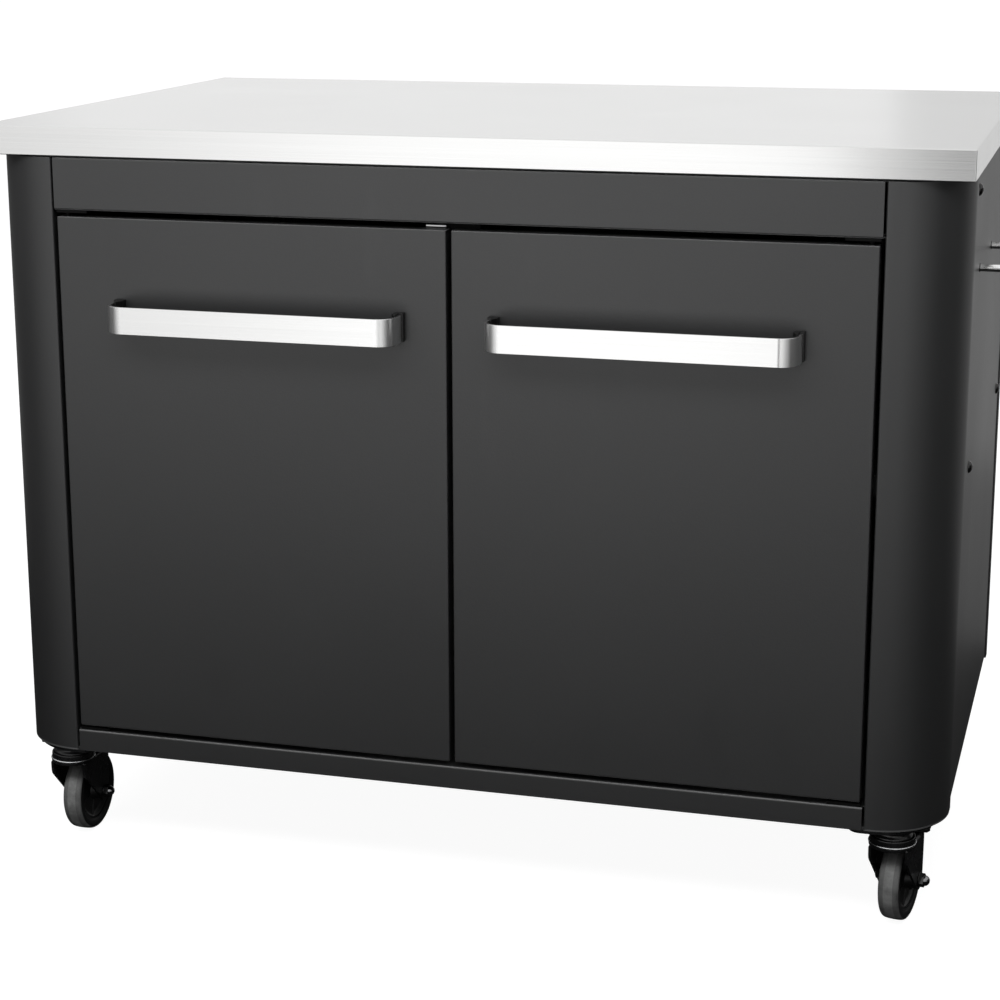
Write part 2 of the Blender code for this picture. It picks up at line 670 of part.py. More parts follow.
# Side bar: a bent round bar whose ends pass through the right side panel
def make_side_bar():
    x_in, x_out = SIDE_X - BAR_INSIDE, SIDE_X + BAR_REACH
    y0, y1 = BAR_Y
    bend_x = x_out - BAR_BEND
    path = [(x_in, y0)] + arc((bend_x, y0 + BAR_BEND), BAR_BEND, -90, 0, BAR_STEPS)
    path += arc((bend_x, y1 - BAR_BEND), BAR_BEND, 0, 90, BAR_STEPS) + [(x_in, y1)]
    bm = bmesh.new()
    rings = []
    for i, point in enumerate(path):
        p = Vector(point)
        ahead = Vector(path[min(i + 1, len(path) - 1)]) - Vector(path[max(i - 1, 0)])
        side = Vector((ahead.y, -ahead.x)).normalized()
        ring = []
        for k in range(BAR_SIDES):
            a = math.tau * k / BAR_SIDES
            flat = p + side * BAR_R * math.cos(a)
            ring.append(bm.verts.new((flat.x, flat.y, BAR_Z + BAR_R * math.sin(a))))
        rings.append(ring)
    for low, high in zip(rings, rings[1:]):
        for k in range(BAR_SIDES):
            bm.faces.new((low[k - 1], low[k], high[k], high[k - 1]))
    bm.faces.new(rings[0])
    bm.faces.new(rings[-1])
    bmesh.ops.recalc_face_normals(bm, faces=bm.faces)
    bar = new_object("side_bar", to_place(bm), "steel")
    wall = SIDE_X - SHEET - FIT
    nut = [(wall - BAR_NUT_H, BAR_NUT_R, True), (wall, BAR_NUT_R, True)]
    nuts = [lofted(nut, "X", (0, y, BAR_Z)) for y in BAR_Y]
    combine(bar, [new_object("nut", to_place(n)) for n in nuts], "UNION")


# Door pivots: lower straps with a shouldered pin and upper straps with a plain pin
def make_hinges():
    for side, sx in (("left", -1), ("right", 1)):
        pin = sx * (DOOR_EDGE - PIN_IN)
        x0, x1 = sorted((sx * HINGE_X[0], sx * HINGE_X[1]))
        low_z = FLOOR_Z + FIT
        high_z = TOP_RAIL_Z0 - FIT
        shoulder_z = DOOR_Z[0] - FIT
        lower_pin = [(low_z + BURY, SHOULDER_R), (shoulder_z, SHOULDER_R), (shoulder_z, PIN_R),
                     (DOOR_Z[0] + PIN_REACH, PIN_R)]
        upper_pin = [(DOOR_Z[1] - PIN_REACH, PIN_R), (high_z - BURY, PIN_R)]
        for name, z0, profile in (("lower", low_z, lower_pin),
                                  ("upper", high_z - HINGE_T, upper_pin)):
            strap = box((x0, HINGE_Y[0], z0), (x1, HINGE_Y[1], z0 + HINGE_T))
            strap = new_object("hinge_" + name + "_" + side, to_place(strap), "black_steel")
            peg = lofted([(z, r, False) for z, r in profile], "Z", place(pin, PIN_IN, 0.0))
            combine(strap, [new_object("pin", peg)], "UNION")


# Doors: a folded outer skin, a liner that closes its back, a bar handle on two feet, a strike
def make_doors():
    z0, z1 = DOOR_Z
    for side, sx in (("left", -1), ("right", 1)):
        hinge = place(sx * (DOOR_EDGE - PIN_IN), PIN_IN, 0.0)
        edges = sorted((sx * DOOR_EDGE, sx * DOOR_MEET))
        pieces = []
        skin = tray("door_skin_" + side, rect(*edges, z0, z1), "Y", 0.0, DOOR_T, DOOR_T,
                    DOOR_SKIN, "coat", DOOR_EDGE_R)
        drill(skin, [hinge], "Z", PIN_R + RUN, z0 - PAST, z1 + PAST)
        pieces.append(skin)
        inside = DOOR_SKIN + FIT
        liner_outline = rect(edges[0] + inside, edges[1] - inside, z0 + inside, z1 - inside)
        pieces.append(tray("door_liner_" + side, liner_outline, "Y", DOOR_T - LINER_LIP, DOOR_T,
                           DOOR_T - LINER_LIP, DOOR_SKIN, "coat_inner"))

        near = DOOR_MEET + HANDLE_IN[side]
        x0, x1 = sorted((sx * near, sx * (near + HANDLE_LONG)))
        bend = HANDLE_REACH - HANDLE_R
        foot_y = -FOOT_D - FIT
        steps = HANDLE_STEPS
        path = [(x0, foot_y)] + arc((x0 + HANDLE_R, -bend), HANDLE_R, 180, 270, steps)
        path += arc((x1 - HANDLE_R, -bend), HANDLE_R, 270, 360, steps) + [(x1, foot_y)]
        bm = prism(ribbon(path, HANDLE_T), "Z", *HANDLE_Z)
        pieces.append(settle(new_object("handle_" + side, to_place(bm), "steel")))

        for end, edge, way in (("left", x0, 1), ("right", x1, -1)):
            inner = edge + way * (HANDLE_T + FIT)
            outline = [(edge - way * FOOT_OUT, -FIT), (edge - way * FOOT_OUT, -FOOT_D),
                       (inner, -FOOT_D), (inner, -FOOT_TALL), (edge + way * FOOT_TAB, -FOOT_TALL),
                       (edge + way * FOOT_IN, -FOOT_SLOPE), (edge + way * FOOT_IN, -FIT)]
            foot = prism(outline, "Z", HANDLE_Z[0] + FOOT_SHY, HANDLE_Z[1] + FOOT_RISE)
            name = "handle_foot_" + side + "_" + end
            pieces.append(settle(new_object(name, to_place(foot), "plastic")))

        sx0, sx1 = sorted((sx * STRIKE_X[0], sx * STRIKE_X[1]))
        high = z1 + STRIKE_OVER[side]
        strike = box((sx0, DOOR_T + FIT, high - STRIKE_H), (sx1, DOOR_T + FIT + SHEET, high))
        pieces.append(settle(new_object("strike_" + side, to_place(strike), "zinc")))
        for piece in pieces:
            own_origin(piece, hinge)
    magnet_y = DOOR_T + FIT + SHEET + FIT
    high = TOP_RAIL_Z0 - FIT
    magnet = prism(rect(-MAGNET_HALF, MAGNET_HALF, high - MAGNET_H, high), "Y",
                   magnet_y, magnet_y + MAGNET_T)
    settle(new_object("door_magnet", to_place(magnet), "plastic"))


# Caster plates: rounded like the posts, with the race cup, the king pin and the bolts that
# clamp them to the gussets
def make_caster_plates():
    near = (PLATE_IN + PLATE_CORNER, PLATE_FRONT + PLATE_CORNER)
    outline = arc(near, PLATE_CORNER, 180, 270, PLATE_CORNER_STEPS)
    outline.append((PLATE_BEND_O, PLATE_FRONT))
    for i in range(1, PLATE_STEPS + 1):
        t = math.radians(90 * i / PLATE_STEPS)
        outline.append((PLATE_BEND_O + (PLATE_OUT - PLATE_BEND_O) * math.sin(t),
                        PLATE_FRONT + POST_R * (1 - math.cos(t))))
    outline += [(PLATE_OUT, PLATE_BACK), (PLATE_IN, PLATE_BACK)]
    top = PLATE_TOP
    low = top - PLATE_T
    above = POST_Z0 + GUSSET_T + FIT
    neck = CUP_R - CUP_NECK
    cup = [(top - PLATE_T / 2, neck), (RING_Z[1] + CUP_STEP[1], neck),
           (RING_Z[1] + CUP_STEP[0], CUP_R), (RING_Z[0], CUP_R), (RING_Z[0], KING_R),
           (HEAD_Z[0] + KING_UP, KING_R)]
    bolt = [(low - HEAD_H, BOLT_HEX, True), (low + BURY, BOLT_HEX, True),
            (low + BURY, BOLT_R, False), (above, BOLT_R, False), (above, BOLT_HEX, True),
            (above + NUT_H, BOLT_HEX, True)]
    for name, sx, rear in CORNERS:
        plate = prism(mirrored(outline, sx, rear), "Z", low, top)
        plate = new_object("caster_plate_" + name, to_place(plate), "black_steel")
        swivel = place(*corner(sx, rear, SWIVEL_O, SWIVEL_D), 0.0)
        under = [lofted([(z, r, False) for z, r in cup], "Z", swivel)]
        under += [lofted(bolt, "Z", place(*xy, 0.0)) for xy in mirrored(BOLT_AT, sx, rear)]
        combine(plate, [new_object("bolts", merged(under))], "UNION")


# Moving parts of one caster, drawn round its swivel axis with the wheel trailing towards +y
def leg_outline(braked):
    boss = arc((TRAIL, WHEEL_R), LEG_BOSS_R, 215, 375, 6)
    top = HEAD_Z[1] - BURY
    front = [(LEG_HALF, top), (-LEG_HALF, top), (LEG_TAPER[0] - LEG_HALF, HEAD_Z[0] - LEG_TAPER[1])]
    if braked:
        y, z = PEDAL_AXIS
        back = [(y + PEDAL_EAR_BACK[0], z - PEDAL_EAR_BACK[1]),
                (y + PEDAL_EAR[0], z + PEDAL_EAR[1]), (y - PEDAL_EAR[0], z + PEDAL_EAR[1])]
    else:
        back = [(TRAIL - LEG_BACK[0], HEAD_Z[0] - LEG_BACK[1])]
    return front + boss + back


def make_fork(braked):
    head = turned([(KING_R + RUN, HEAD_Z[0]), (HEAD_R, HEAD_Z[0]),
                   (HEAD_R, HEAD_Z[1]), (SKIRT_R, HEAD_Z[1]), (SKIRT_R, HEAD_Z[1] + SKIRT_H),
                   (CUP_R + SKIRT_IN, HEAD_Z[1] + SKIRT_H), (CUP_R + SKIRT_IN, HEAD_Z[1]),
                   (KING_R + RUN, HEAD_Z[1])], "Z", HEAD_STEPS)
    legs = []
    for side in (-1, 1):
        x0, x1 = sorted((side * LEG_IN, side * (LEG_IN + LEG_T)))
        legs.append(prism(leg_outline(braked), "X", x0, x1))
    fork = new_object("fork", head)
    combine(fork, [new_object("legs", merged(legs))], "UNION")
    past = LEG_IN + LEG_T + PAST
    drill(fork, [(0.0, TRAIL, WHEEL_R)], "X", AXLE_R + RUN, -past, past)
    if braked:
        drill(fork, [(0.0, *PEDAL_AXIS)], "X", PEDAL_PIN_R + RUN, -past, past)
    return fork


def make_casters():
    forks = {True: make_fork(True), False: make_fork(False)}
    ring = new_object("ring", turned(rect(SKIRT_R + FIT, RING_R, *RING_Z), "Z", HEAD_STEPS))
    leg = LEG_IN + LEG_T + FIT
    axle = new_object("axle", lofted([
        (-leg - AXLE_HEAD_H, AXLE_HEX, True), (-leg, AXLE_HEX, True), (-leg, AXLE_R, False),
        (leg, AXLE_R, False), (leg, AXLE_NUT_HEX, True), (leg + DOME[0][0], DOME[0][1], True),
        *[(leg + h, r, False) for h, r in DOME[1:]]], "X", (0, TRAIL, WHEEL_R)))
    boss = LEG_IN - HUB_GAP
    hub_half = [(AXLE_R + RUN, boss), (HUB_BOSS_R, boss), (HUB_DISH_R[0], HUB_DISH_HALF[0]),
                (HUB_DISH_R[1], HUB_DISH_HALF[1]), (HUB_R - HUB_RIM_IN, HUB_RIM_HALF),
                (HUB_R, HUB_RIM_HALF)]
    hub_profile = hub_half + [(r, -h) for r, h in hub_half[::-1]]
    hub = new_object("hub", turned(hub_profile, "X", WHEEL_STEPS))
    tyre_half = [(HUB_R + FIT, TYRE_BEAD_HALF), (WHEEL_R - TYRE_SIDE, TYRE_HALF),
                 (WHEEL_R - TYRE_CROWN[0], TYRE_CROWN[1]), (WHEEL_R, TREAD_HALF)]
    tyre_profile = tyre_half + [(r, -h) for r, h in tyre_half[::-1]]
    tyre = new_object("tyre", turned(tyre_profile, "X", WHEEL_STEPS))
    y, z = PEDAL_AXIS
    pedal_outline = [(y + dy, z + dz) for dy, dz in PEDAL_SHAPE]
    pedal = new_object("pedal", prism(pedal_outline, "X", -PEDAL_HALF, PEDAL_HALF))
    pin_half = LEG_IN + LEG_T + PEDAL_PIN_OUT
    pin = lofted([(-pin_half, PEDAL_PIN_R, False), (pin_half, PEDAL_PIN_R, False)], "X", (0, y, z))
    combine(pedal, [new_object("pin", pin)], "UNION")
    for tool in (*forks.values(), ring, axle, hub, tyre, pedal):
        settle(tool)
    wheel_at = Vector((0.0, TRAIL, WHEEL_R))
    pedal_at = Vector((0.0, y, z))
    pedal.data.transform(Matrix.Translation(-pedal_at))
    for name, sx, rear in CORNERS:
        turn = REST_TURN[name]
        swivel = place(*corner(sx, rear, SWIVEL_O, SWIVEL_D), 0.0)
        spun = Matrix.Rotation(math.radians(turn), 3, "Z")
        copy_to("fork_" + name, forks[not rear], "black_steel", swivel, turn)
        copy_to("caster_ring_" + name, ring, "zinc", swivel, turn)
        copy_to("axle_" + name, axle, "black_steel", swivel, turn)
        copy_to("hub_" + name, hub, "plastic", swivel + spun @ wheel_at, turn)
        copy_to("tyre_" + name, tyre, "rubber", swivel + spun @ wheel_at, turn)
        if not rear:
            copy_to("brake_" + name, pedal, "black_steel", swivel + spun @ pedal_at, turn)
    for tool in (*forks.values(), ring, axle, hub, tyre, pedal):
        bpy.data.objects.remove(tool, do_unlink=True)


make_posts()
make_front_rails()
make_panels()
make_floor()
make_shelf()
make_worktop()
make_side_bar()
make_hinges()
make_doors()
make_caster_plates()
make_casters()
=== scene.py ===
"""Looks of the outdoor kitchen unit: finer pieces over the fixed frame, finishes, light, camera."""

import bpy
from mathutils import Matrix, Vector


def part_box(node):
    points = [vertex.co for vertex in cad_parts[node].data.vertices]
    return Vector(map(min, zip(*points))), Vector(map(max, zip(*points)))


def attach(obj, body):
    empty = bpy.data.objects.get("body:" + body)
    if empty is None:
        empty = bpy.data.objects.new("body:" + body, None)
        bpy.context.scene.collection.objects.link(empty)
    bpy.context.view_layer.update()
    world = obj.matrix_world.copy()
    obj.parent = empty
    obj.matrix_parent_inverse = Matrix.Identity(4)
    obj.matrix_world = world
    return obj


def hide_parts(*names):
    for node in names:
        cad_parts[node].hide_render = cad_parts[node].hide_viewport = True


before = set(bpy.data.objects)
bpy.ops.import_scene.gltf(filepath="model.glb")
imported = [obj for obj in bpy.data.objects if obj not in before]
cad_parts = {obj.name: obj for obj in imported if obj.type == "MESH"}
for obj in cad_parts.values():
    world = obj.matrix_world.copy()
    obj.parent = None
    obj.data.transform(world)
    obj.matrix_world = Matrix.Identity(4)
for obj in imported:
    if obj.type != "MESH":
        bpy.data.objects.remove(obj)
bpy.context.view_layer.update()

import math

import bmesh
import bpy
from mathutils import Matrix, Vector

# The cabinet's own layout, read from the frame: x from its centre line, y from its front plane.
# At a corner, o is outward from the front rail's end and d inward from the front or back plane.
RAIL_LO, RAIL_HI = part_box("top_rail_front")
OX, OY = (RAIL_LO.x + RAIL_HI.x) / 2, RAIL_LO.y
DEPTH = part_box("back_panel")[1].y - OY
POST_Z0, POST_Z1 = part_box("post_front_left")[0].z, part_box("post_front_left")[1].z
FIT = 0.0003            # between two pieces that meet
SHEET = 0.0015
FOLD_R = 0.0024         # outside radius of a fold
RAIL_END = 0.0021       # how far a rail's flanges reach past its face
RAIL_HALF = (RAIL_HI.x - RAIL_LO.x) / 2 - RAIL_END
RAIL_FLANGE = 0.030
POST_IN, POST_OUT, POST_R, POST_T = 0.0024, 0.0905, 0.082, 0.002
POST_RETURN, POST_SIDE, POST_LIP = 0.045, 0.0977, 0.0285
POST_HIGHLIGHT_BAND = 0.0022       # height of the band at a post's foot that is painted lighter as a highlight
GUSSET_IN, GUSSET_TOP = -0.040, 0.004
SIDE_X = RAIL_HALF + POST_OUT - 0.002
SIDE_FLANGE = 0.020
SHELF_SCREW = 0.523     # height of the screws that hold a shelf bracket too
SCREW_AT = [(0.1315, 0.843), (DEPTH - 0.1315, 0.843), (0.163, SHELF_SCREW), (0.614, SHELF_SCREW)]
WORKTOP_LIP, WORKTOP_EDGE, WORKTOP_T = 0.022, 0.0011, 0.0015
BAR_R, BAR_BEND, BAR_SIDES, BAR_NUT_R = 0.00425, 0.016, 24, 0.0085
DOOR_T, DOOR_FOLD_R = 0.0012, 0.0016
DOOR_GAP, PIN_IN, PIN_BACK, PIN_HOLE_R = 0.0026, 0.010, 0.010, 0.0033
HANDLE_OUT, HANDLE_BEND, HANDLE_T = -0.045, 0.022, 0.003
FOOT_SEAT, FOOT_TIP = -0.008, -0.020    # y of the handle feet's two levels

# A caster, from its swivel axis and the floor, with y back
WHEEL_R, TRAIL = 0.050, 0.038
HUB_R = 0.0369
WALL_R, CROWN_HALF = 0.0475, 0.0053     # where the tyre's darker wall ends and its crown band, painted lighter as a sheen, starts
HEAD_Z, HEAD_R = (0.1037, 0.1077), 0.0268
SKIRT_IN, SKIRT_R, SKIRT_TOP = 0.0243, 0.0262, 0.1170
RING_Z, RING_R = (0.1080, 0.1102), 0.0275
LEG_IN, LEG_T, LEG_HALF, LEG_BOSS_R = 0.020, 0.003, 0.017, 0.012
LEG_OUT = LEG_IN + LEG_T
KING_HOLE_R = 0.0063
PEDAL_AXIS = (0.044, 0.107)
PEDAL_HALF, PEDAL_PIN_R, PEDAL_PIN_OUT = 0.016, 0.003, 0.001
PLATE_T = 0.004
BOLT_HEX, BOLT_R, WASHER_R = 0.0074, 0.0039, 0.0082
BOLT_AT = [(-0.006, 0.030), (-0.006, 0.080), (0.070, 0.080), (0.066, 0.042)]
SWIVEL_O, SWIVEL_D = 0.0311, 0.0433
# In front the photograph's angles, at the rear guessed ones
TURNS = {"front_left": -1.0, "front_right": -10.7, "rear_left": 6.0, "rear_right": -5.0}
CORNERS = [("front_left", -1, False), ("front_right", 1, False),
           ("rear_left", -1, True), ("rear_right", 1, True)]


def at(x, y, z):
    """A point of the cabinet's layout in the frame."""
    return Vector((x + OX, y + OY, z))


# ---- outlines and solids ----
def arc(centre, radius, start, end, steps):
    points = []
    for i in range(steps + 1):
        angle = math.radians(start + (end - start) * i / steps)
        points.append((centre[0] + radius * math.cos(angle), centre[1] + radius * math.sin(angle)))
    return points


def fillet(before, corner, after, radius, steps):
    """Points of a small arc in place of one corner."""
    p, q, r = Vector(before), Vector(corner), Vector(after)
    a, b = (p - q).normalized(), (r - q).normalized()
    half = a.angle(b) / 2
    reach = radius / math.tan(half)
    middle = q + (a + b).normalized() * radius / math.sin(half)
    start, end = q + a * reach - middle, q + b * reach - middle
    sweep = start.angle_signed(end)
    turns = [Matrix.Rotation(-sweep * i / steps, 2) for i in range(steps + 1)]
    return [tuple(middle + turn @ start) for turn in turns]


def soften(path, radius, steps=5):
    points = [path[0]]
    for before, corner, after in zip(path, path[1:], path[2:]):
        points += fillet(before, corner, after, radius, steps)
    return points + [path[-1]]


def rounded(outline, radii, steps=4):
    """A closed outline with the corners that have a radius rounded off."""
    points = []
    for i, (corner, radius) in enumerate(zip(outline, radii)):
        if radius:
            after = outline[(i + 1) % len(outline)]
            points += fillet(outline[i - 1], corner, after, radius, steps)
        else:
            points.append(corner)
    return points


def ribbon(path, thickness):
    """The outline of a strip that has one side on the path and the other to its left."""
    inner = []
    for i, point in enumerate(path):
        p = Vector(point)
        a = (p - Vector(path[i - 1])).normalized() if i else None
        b = (Vector(path[i + 1]) - p).normalized() if i + 1 < len(path) else None
        a, b = a or b, b or a
        na, nb = Vector((-a.y, a.x)), Vector((-b.y, b.x))
        n = (na + nb).normalized()
        inner.append(tuple(p + n * thickness / n.dot(na)))
    return list(path) + inner[::-1]


def rect(a0, a1, b0, b1):
    return [(a0, b0), (a1, b0), (a1, b1), (a0, b1)]


def map_axes(axis, a, b, h):
    return {"X": (h, a, b), "Y": (a, h, b), "Z": (a, b, h)}[axis]


def prism(outline, axis, h0, h1):
    bm = bmesh.new()
    face = bm.faces.new([bm.verts.new(map_axes(axis, a, b, h0)) for a, b in outline])
    grown = bmesh.ops.extrude_face_region(bm, geom=[face])
    shift = Vector(map_axes(axis, 0.0, 0.0, h1 - h0))
    verts = [v for v in grown["geom"] if isinstance(v, bmesh.types.BMVert)]
    bmesh.ops.translate(bm, verts=verts, vec=shift)
    bmesh.ops.recalc_face_normals(bm, faces=bm.faces)
    return bm


def block(low, high):
    return prism(rect(low[0], high[0], low[1], high[1]), "Z", low[2], high[2])


def turned(profile, axis, steps, closed=True):
    """A profile of (radius, height) spun round an axis; an open one starts and ends on it."""
    bm = bmesh.new()
    verts = [bm.verts.new(map_axes(axis, r, 0.0, h)) for r, h in profile]
    first = 0 if closed else 1
    edges = [bm.edges.new((verts[i - 1], verts[i])) for i in range(first, len(verts))]
    bmesh.ops.spin(bm, geom=verts + edges, cent=(0, 0, 0), axis=map_axes(axis, 0.0, 0.0, 1.0),
                   angle=math.tau, steps=steps, use_merge=True)
    bmesh.ops.remove_doubles(bm, verts=bm.verts, dist=1e-7)
    bmesh.ops.recalc_face_normals(bm, faces=bm.faces)
    return bm


def rod(radius, h0, h1, axis, steps=24):
    return turned([(0.0, h0), (radius, h0), (radius, h1), (0.0, h1)], axis, steps, closed=False)


def hexagon(radius, turn=0.0):
    return [(radius * math.cos(math.radians(turn + 60 * i)),
             radius * math.sin(math.radians(turn + 60 * i))) for i in range(6)]


def moved(bm, matrix):
    bmesh.ops.transform(bm, matrix=matrix, verts=bm.verts)
    return bm


def shifted(bm, point):
    return moved(bm, Matrix.Translation(point))


def merged(parts):
    """One solid of several, which are used up."""
    whole = bmesh.new()
    for part in parts:
        mesh = bpy.data.meshes.new("part")
        part.to_mesh(mesh)
        part.free()
        whole.from_mesh(mesh)
        bpy.data.meshes.remove(mesh)
    return whole


def plain(name, bm):
    mesh = bpy.data.meshes.new(name)
    bm.to_mesh(mesh)
    bm.free()
    obj = bpy.data.objects.new(name, mesh)
    bpy.context.scene.collection.objects.link(obj)
    return obj


def laid(name, bm):
    """An object of a solid that is drawn in the cabinet's own layout."""
    return plain(name, shifted(bm, at(0, 0, 0)))


def moved_mesh(obj, matrix):
    obj.data.transform(matrix)
    return obj


def baked(obj):
    """Turn the modifiers into mesh."""
    mesh = bpy.data.meshes.new_from_object(obj.evaluated_get(bpy.context.evaluated_depsgraph_get()))
    obj.modifiers.clear()
    obj.data = mesh
    return obj


def bevel(obj, width, segments=2, angle=40):
    step = obj.modifiers.new("edges", "BEVEL")
    step.width = width
    step.segments = segments
    step.limit_method = "ANGLE"
    step.angle_limit = math.radians(angle)
    return obj


def shell(obj, thickness):
    step = obj.modifiers.new("sheet", "SOLIDIFY")
    step.thickness = thickness
    step.offset = -1.0
    step.use_even_offset = True
    return obj


def boolean(obj, tools, operation="DIFFERENCE"):
    """Shape an object with the tools, which are used up."""
    for tool in tools:
        step = obj.modifiers.new("shape", "BOOLEAN")
        step.operation = operation
        step.solver = "EXACT"
        step.object = tool
    baked(obj)
    for tool in tools:
        bpy.data.objects.remove(tool, do_unlink=True)
    return obj


def piece(obj, body, looks, nodes=(), edge=0.0, segments=2):
    """Finish a piece: edges, shading, finish, the body it rides on and what it stands for."""
    if edge:
        bevel(obj, edge, segments)
    baked(obj)
    mesh = obj.data
    mesh.name = obj.name
    mesh.materials.clear()
    for item in looks:
        mesh.materials.append(item)
    mesh.shade_smooth()
    mesh.set_sharp_from_angle(angle=math.radians(38))
    weight = obj.modifiers.new("normals", "WEIGHTED_NORMAL")
    weight.keep_sharp = True
    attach(obj, body)
    if nodes:
        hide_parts(*nodes)
    return obj


def paint(obj, which):
    """Give each face the finish that which(face) counts to in the piece's list."""
    for face in obj.data.polygons:
        face.material_index = which(face)


# ---- finishes ----
class Look:
    """A node material, in metres of the piece's own space."""

    def __init__(self, name, colour, metal, rough, gloss=0.5):
        self.mat = bpy.data.materials.new(name)
        self.mat.use_nodes = True
        self.tree = self.mat.node_tree
        self.bsdf = self.tree.nodes["Principled BSDF"]
        self.space = self.tree.nodes.new("ShaderNodeTexCoord").outputs["Object"]
        self.colour = colour
        self.set("Base Color", (*colour, 1.0))
        self.set("Metallic", metal)
        self.set("Roughness", rough)
        self.set("Specular IOR Level", gloss)

    def set(self, key, value):
        self.bsdf.inputs[key].default_value = value

    def link(self, out, to):
        self.tree.links.new(out, to)

    def noise(self, scale, stretch=(1, 1, 1), detail=2.0, rough=0.5, kind="ShaderNodeTexNoise"):
        shift = self.tree.nodes.new("ShaderNodeMapping")
        shift.inputs["Scale"].default_value = stretch
        self.link(self.space, shift.inputs["Vector"])
        tex = self.tree.nodes.new(kind)
        tex.inputs["Scale"].default_value = scale
        if kind == "ShaderNodeTexNoise":
            tex.inputs["Detail"].default_value = detail
            tex.inputs["Roughness"].default_value = rough
        self.link(shift.outputs["Vector"], tex.inputs["Vector"])
        return tex.outputs[0]

    def span(self, value, to_low, to_high, low=0.3, high=0.7):
        """Map a value from low..high, where most of a noise lies, to another range."""
        step = self.tree.nodes.new("ShaderNodeMapRange")
        step.inputs["From Min"].default_value = low
        step.inputs["From Max"].default_value = high
        step.inputs["To Min"].default_value = to_low
        step.inputs["To Max"].default_value = to_high
        self.link(value, step.inputs["Value"])
        return step.outputs["Result"]

    def maths(self, kind, a, b):
        step = self.tree.nodes.new("ShaderNodeMath")
        step.operation = kind
        for value, socket in ((a, step.inputs[0]), (b, step.inputs[1])):
            if isinstance(value, (int, float)):
                socket.default_value = value
            else:
                self.link(value, socket)
        return step.outputs[0]

    def tint(self, value):
        """Multiply the base colour by a value round 1."""
        step = self.tree.nodes.new("ShaderNodeVectorMath")
        step.operation = "SCALE"
        step.inputs[0].default_value = self.colour
        self.link(value, step.inputs["Scale"])
        self.link(step.outputs[0], self.bsdf.inputs["Base Color"])

    def roughen(self, value):
        self.link(value, self.bsdf.inputs["Roughness"])

    def bump(self, layers):
        """Heights as (value, strength, distance), one over the other."""
        normal = None
        for value, strength, distance in layers:
            step = self.tree.nodes.new("ShaderNodeBump")
            step.inputs["Strength"].default_value = strength
            step.inputs["Distance"].default_value = distance
            self.link(value, step.inputs["Height"])
            if normal:
                self.link(normal, step.inputs["Normal"])
            normal = step.outputs["Normal"]
        self.link(normal, self.bsdf.inputs["Normal"])


def powder(name, colour, rough, grain, gloss=0.5):
    """Powder coat: a fine pebbled skin with a soft mottle and faint handling marks."""
    look = Look(name, colour, 0.0, rough, gloss)
    skin = look.noise(grain, detail=2.5, rough=0.55)
    cells = look.noise(grain * 0.42, kind="ShaderNodeTexVoronoi")
    broad = look.noise(3.2, detail=3.0)
    rub = look.noise(26.0, stretch=(1, 1, 0.22), detail=4.0, rough=0.62)
    look.tint(look.maths("MULTIPLY", look.span(skin, 0.88, 1.12),
                         look.span(broad, 0.965, 1.035)))
    wear_and_highlight = look.maths("ADD", look.span(broad, -0.02, 0.02),
                      look.span(rub, 0.0, -0.05, 0.62, 0.80))
    look.roughen(look.maths("ADD", wear_and_highlight, rough))
    look.bump([(skin, 0.22, 0.0003), (cells, 0.10, 0.0003)])
    return look.mat


def brushed(name, colour, rough, axis):
    """Brushed steel: a fine grain along one axis spreads light across it, with sparse scratches."""
    look = Look(name, colour, 1.0, rough)
    fine = 3000.0

    def grain(across, along, detail=2.0):
        stretch = [across] * 3
        stretch["XYZ".index(axis)] = along
        return look.noise(1.0, stretch=stretch, detail=detail, rough=0.6)

    hair, band, cloud = grain(fine, 3.0, 3.0), grain(fine * 0.12, 2.0), look.noise(4.0, detail=3.0)
    look.tint(look.maths("MULTIPLY", look.span(hair, 0.98, 1.02),
                         look.span(band, 0.985, 1.015)))
    level = look.maths("ADD", look.span(hair, -0.025, 0.025),
                       look.span(cloud, -0.02, 0.02))
    level = look.maths("ADD", level, look.span(grain(fine * 0.05, 1.2), 0.0, 0.045, 0.70, 0.80))
    look.roughen(look.maths("ADD", level, rough))
    look.bump([(hair, 0.12, 0.0001), (band, 0.010, 0.0003)])
    return look.mat


def plated(name, colour, rough):
    """Bright zinc plate with a faint cloudy bloom."""
    look = Look(name, colour, 1.0, rough)
    bloom = look.noise(60.0, detail=4.0, rough=0.6)
    fine = look.noise(900.0, detail=2.0)
    look.tint(look.span(bloom, 0.90, 1.05))
    look.roughen(look.maths("ADD", look.span(bloom, -0.06, 0.08), rough))
    look.bump([(fine, 0.08, 0.0002)])
    return look.mat


def enamel(name, colour, rough):
    """Glossier black paint on the casters, dulled in patches, with a fine orange peel."""
    look = Look(name, colour, 0.0, rough)
    peel = look.noise(420.0, detail=2.0)
    dull = look.noise(35.0, detail=4.0, rough=0.6)
    look.tint(look.span(dull, 0.85, 1.25))
    look.roughen(look.maths("ADD", look.span(dull, -0.06, 0.14, 0.35), rough))
    look.bump([(peel, 0.12, 0.0003)])
    return look.mat


def moulded(name, colour, rough, scale=650.0, dust=1.15, gloss=0.5, patches=22.0, low=0.92):
    """Moulded plastic or rubber with a fine matt texture."""
    look = Look(name, colour, 0.0, rough, gloss)
    fine = look.noise(scale, detail=3.0, rough=0.6)
    patch = look.noise(patches, detail=3.0)
    look.tint(look.maths("MULTIPLY", look.span(fine, 0.92, 1.08),
                         look.span(patch, low, dust)))
    look.roughen(look.maths("ADD", look.span(patch, -0.05, 0.06), rough))
    look.bump([(fine, 0.20, 0.0003)])
    return look.mat


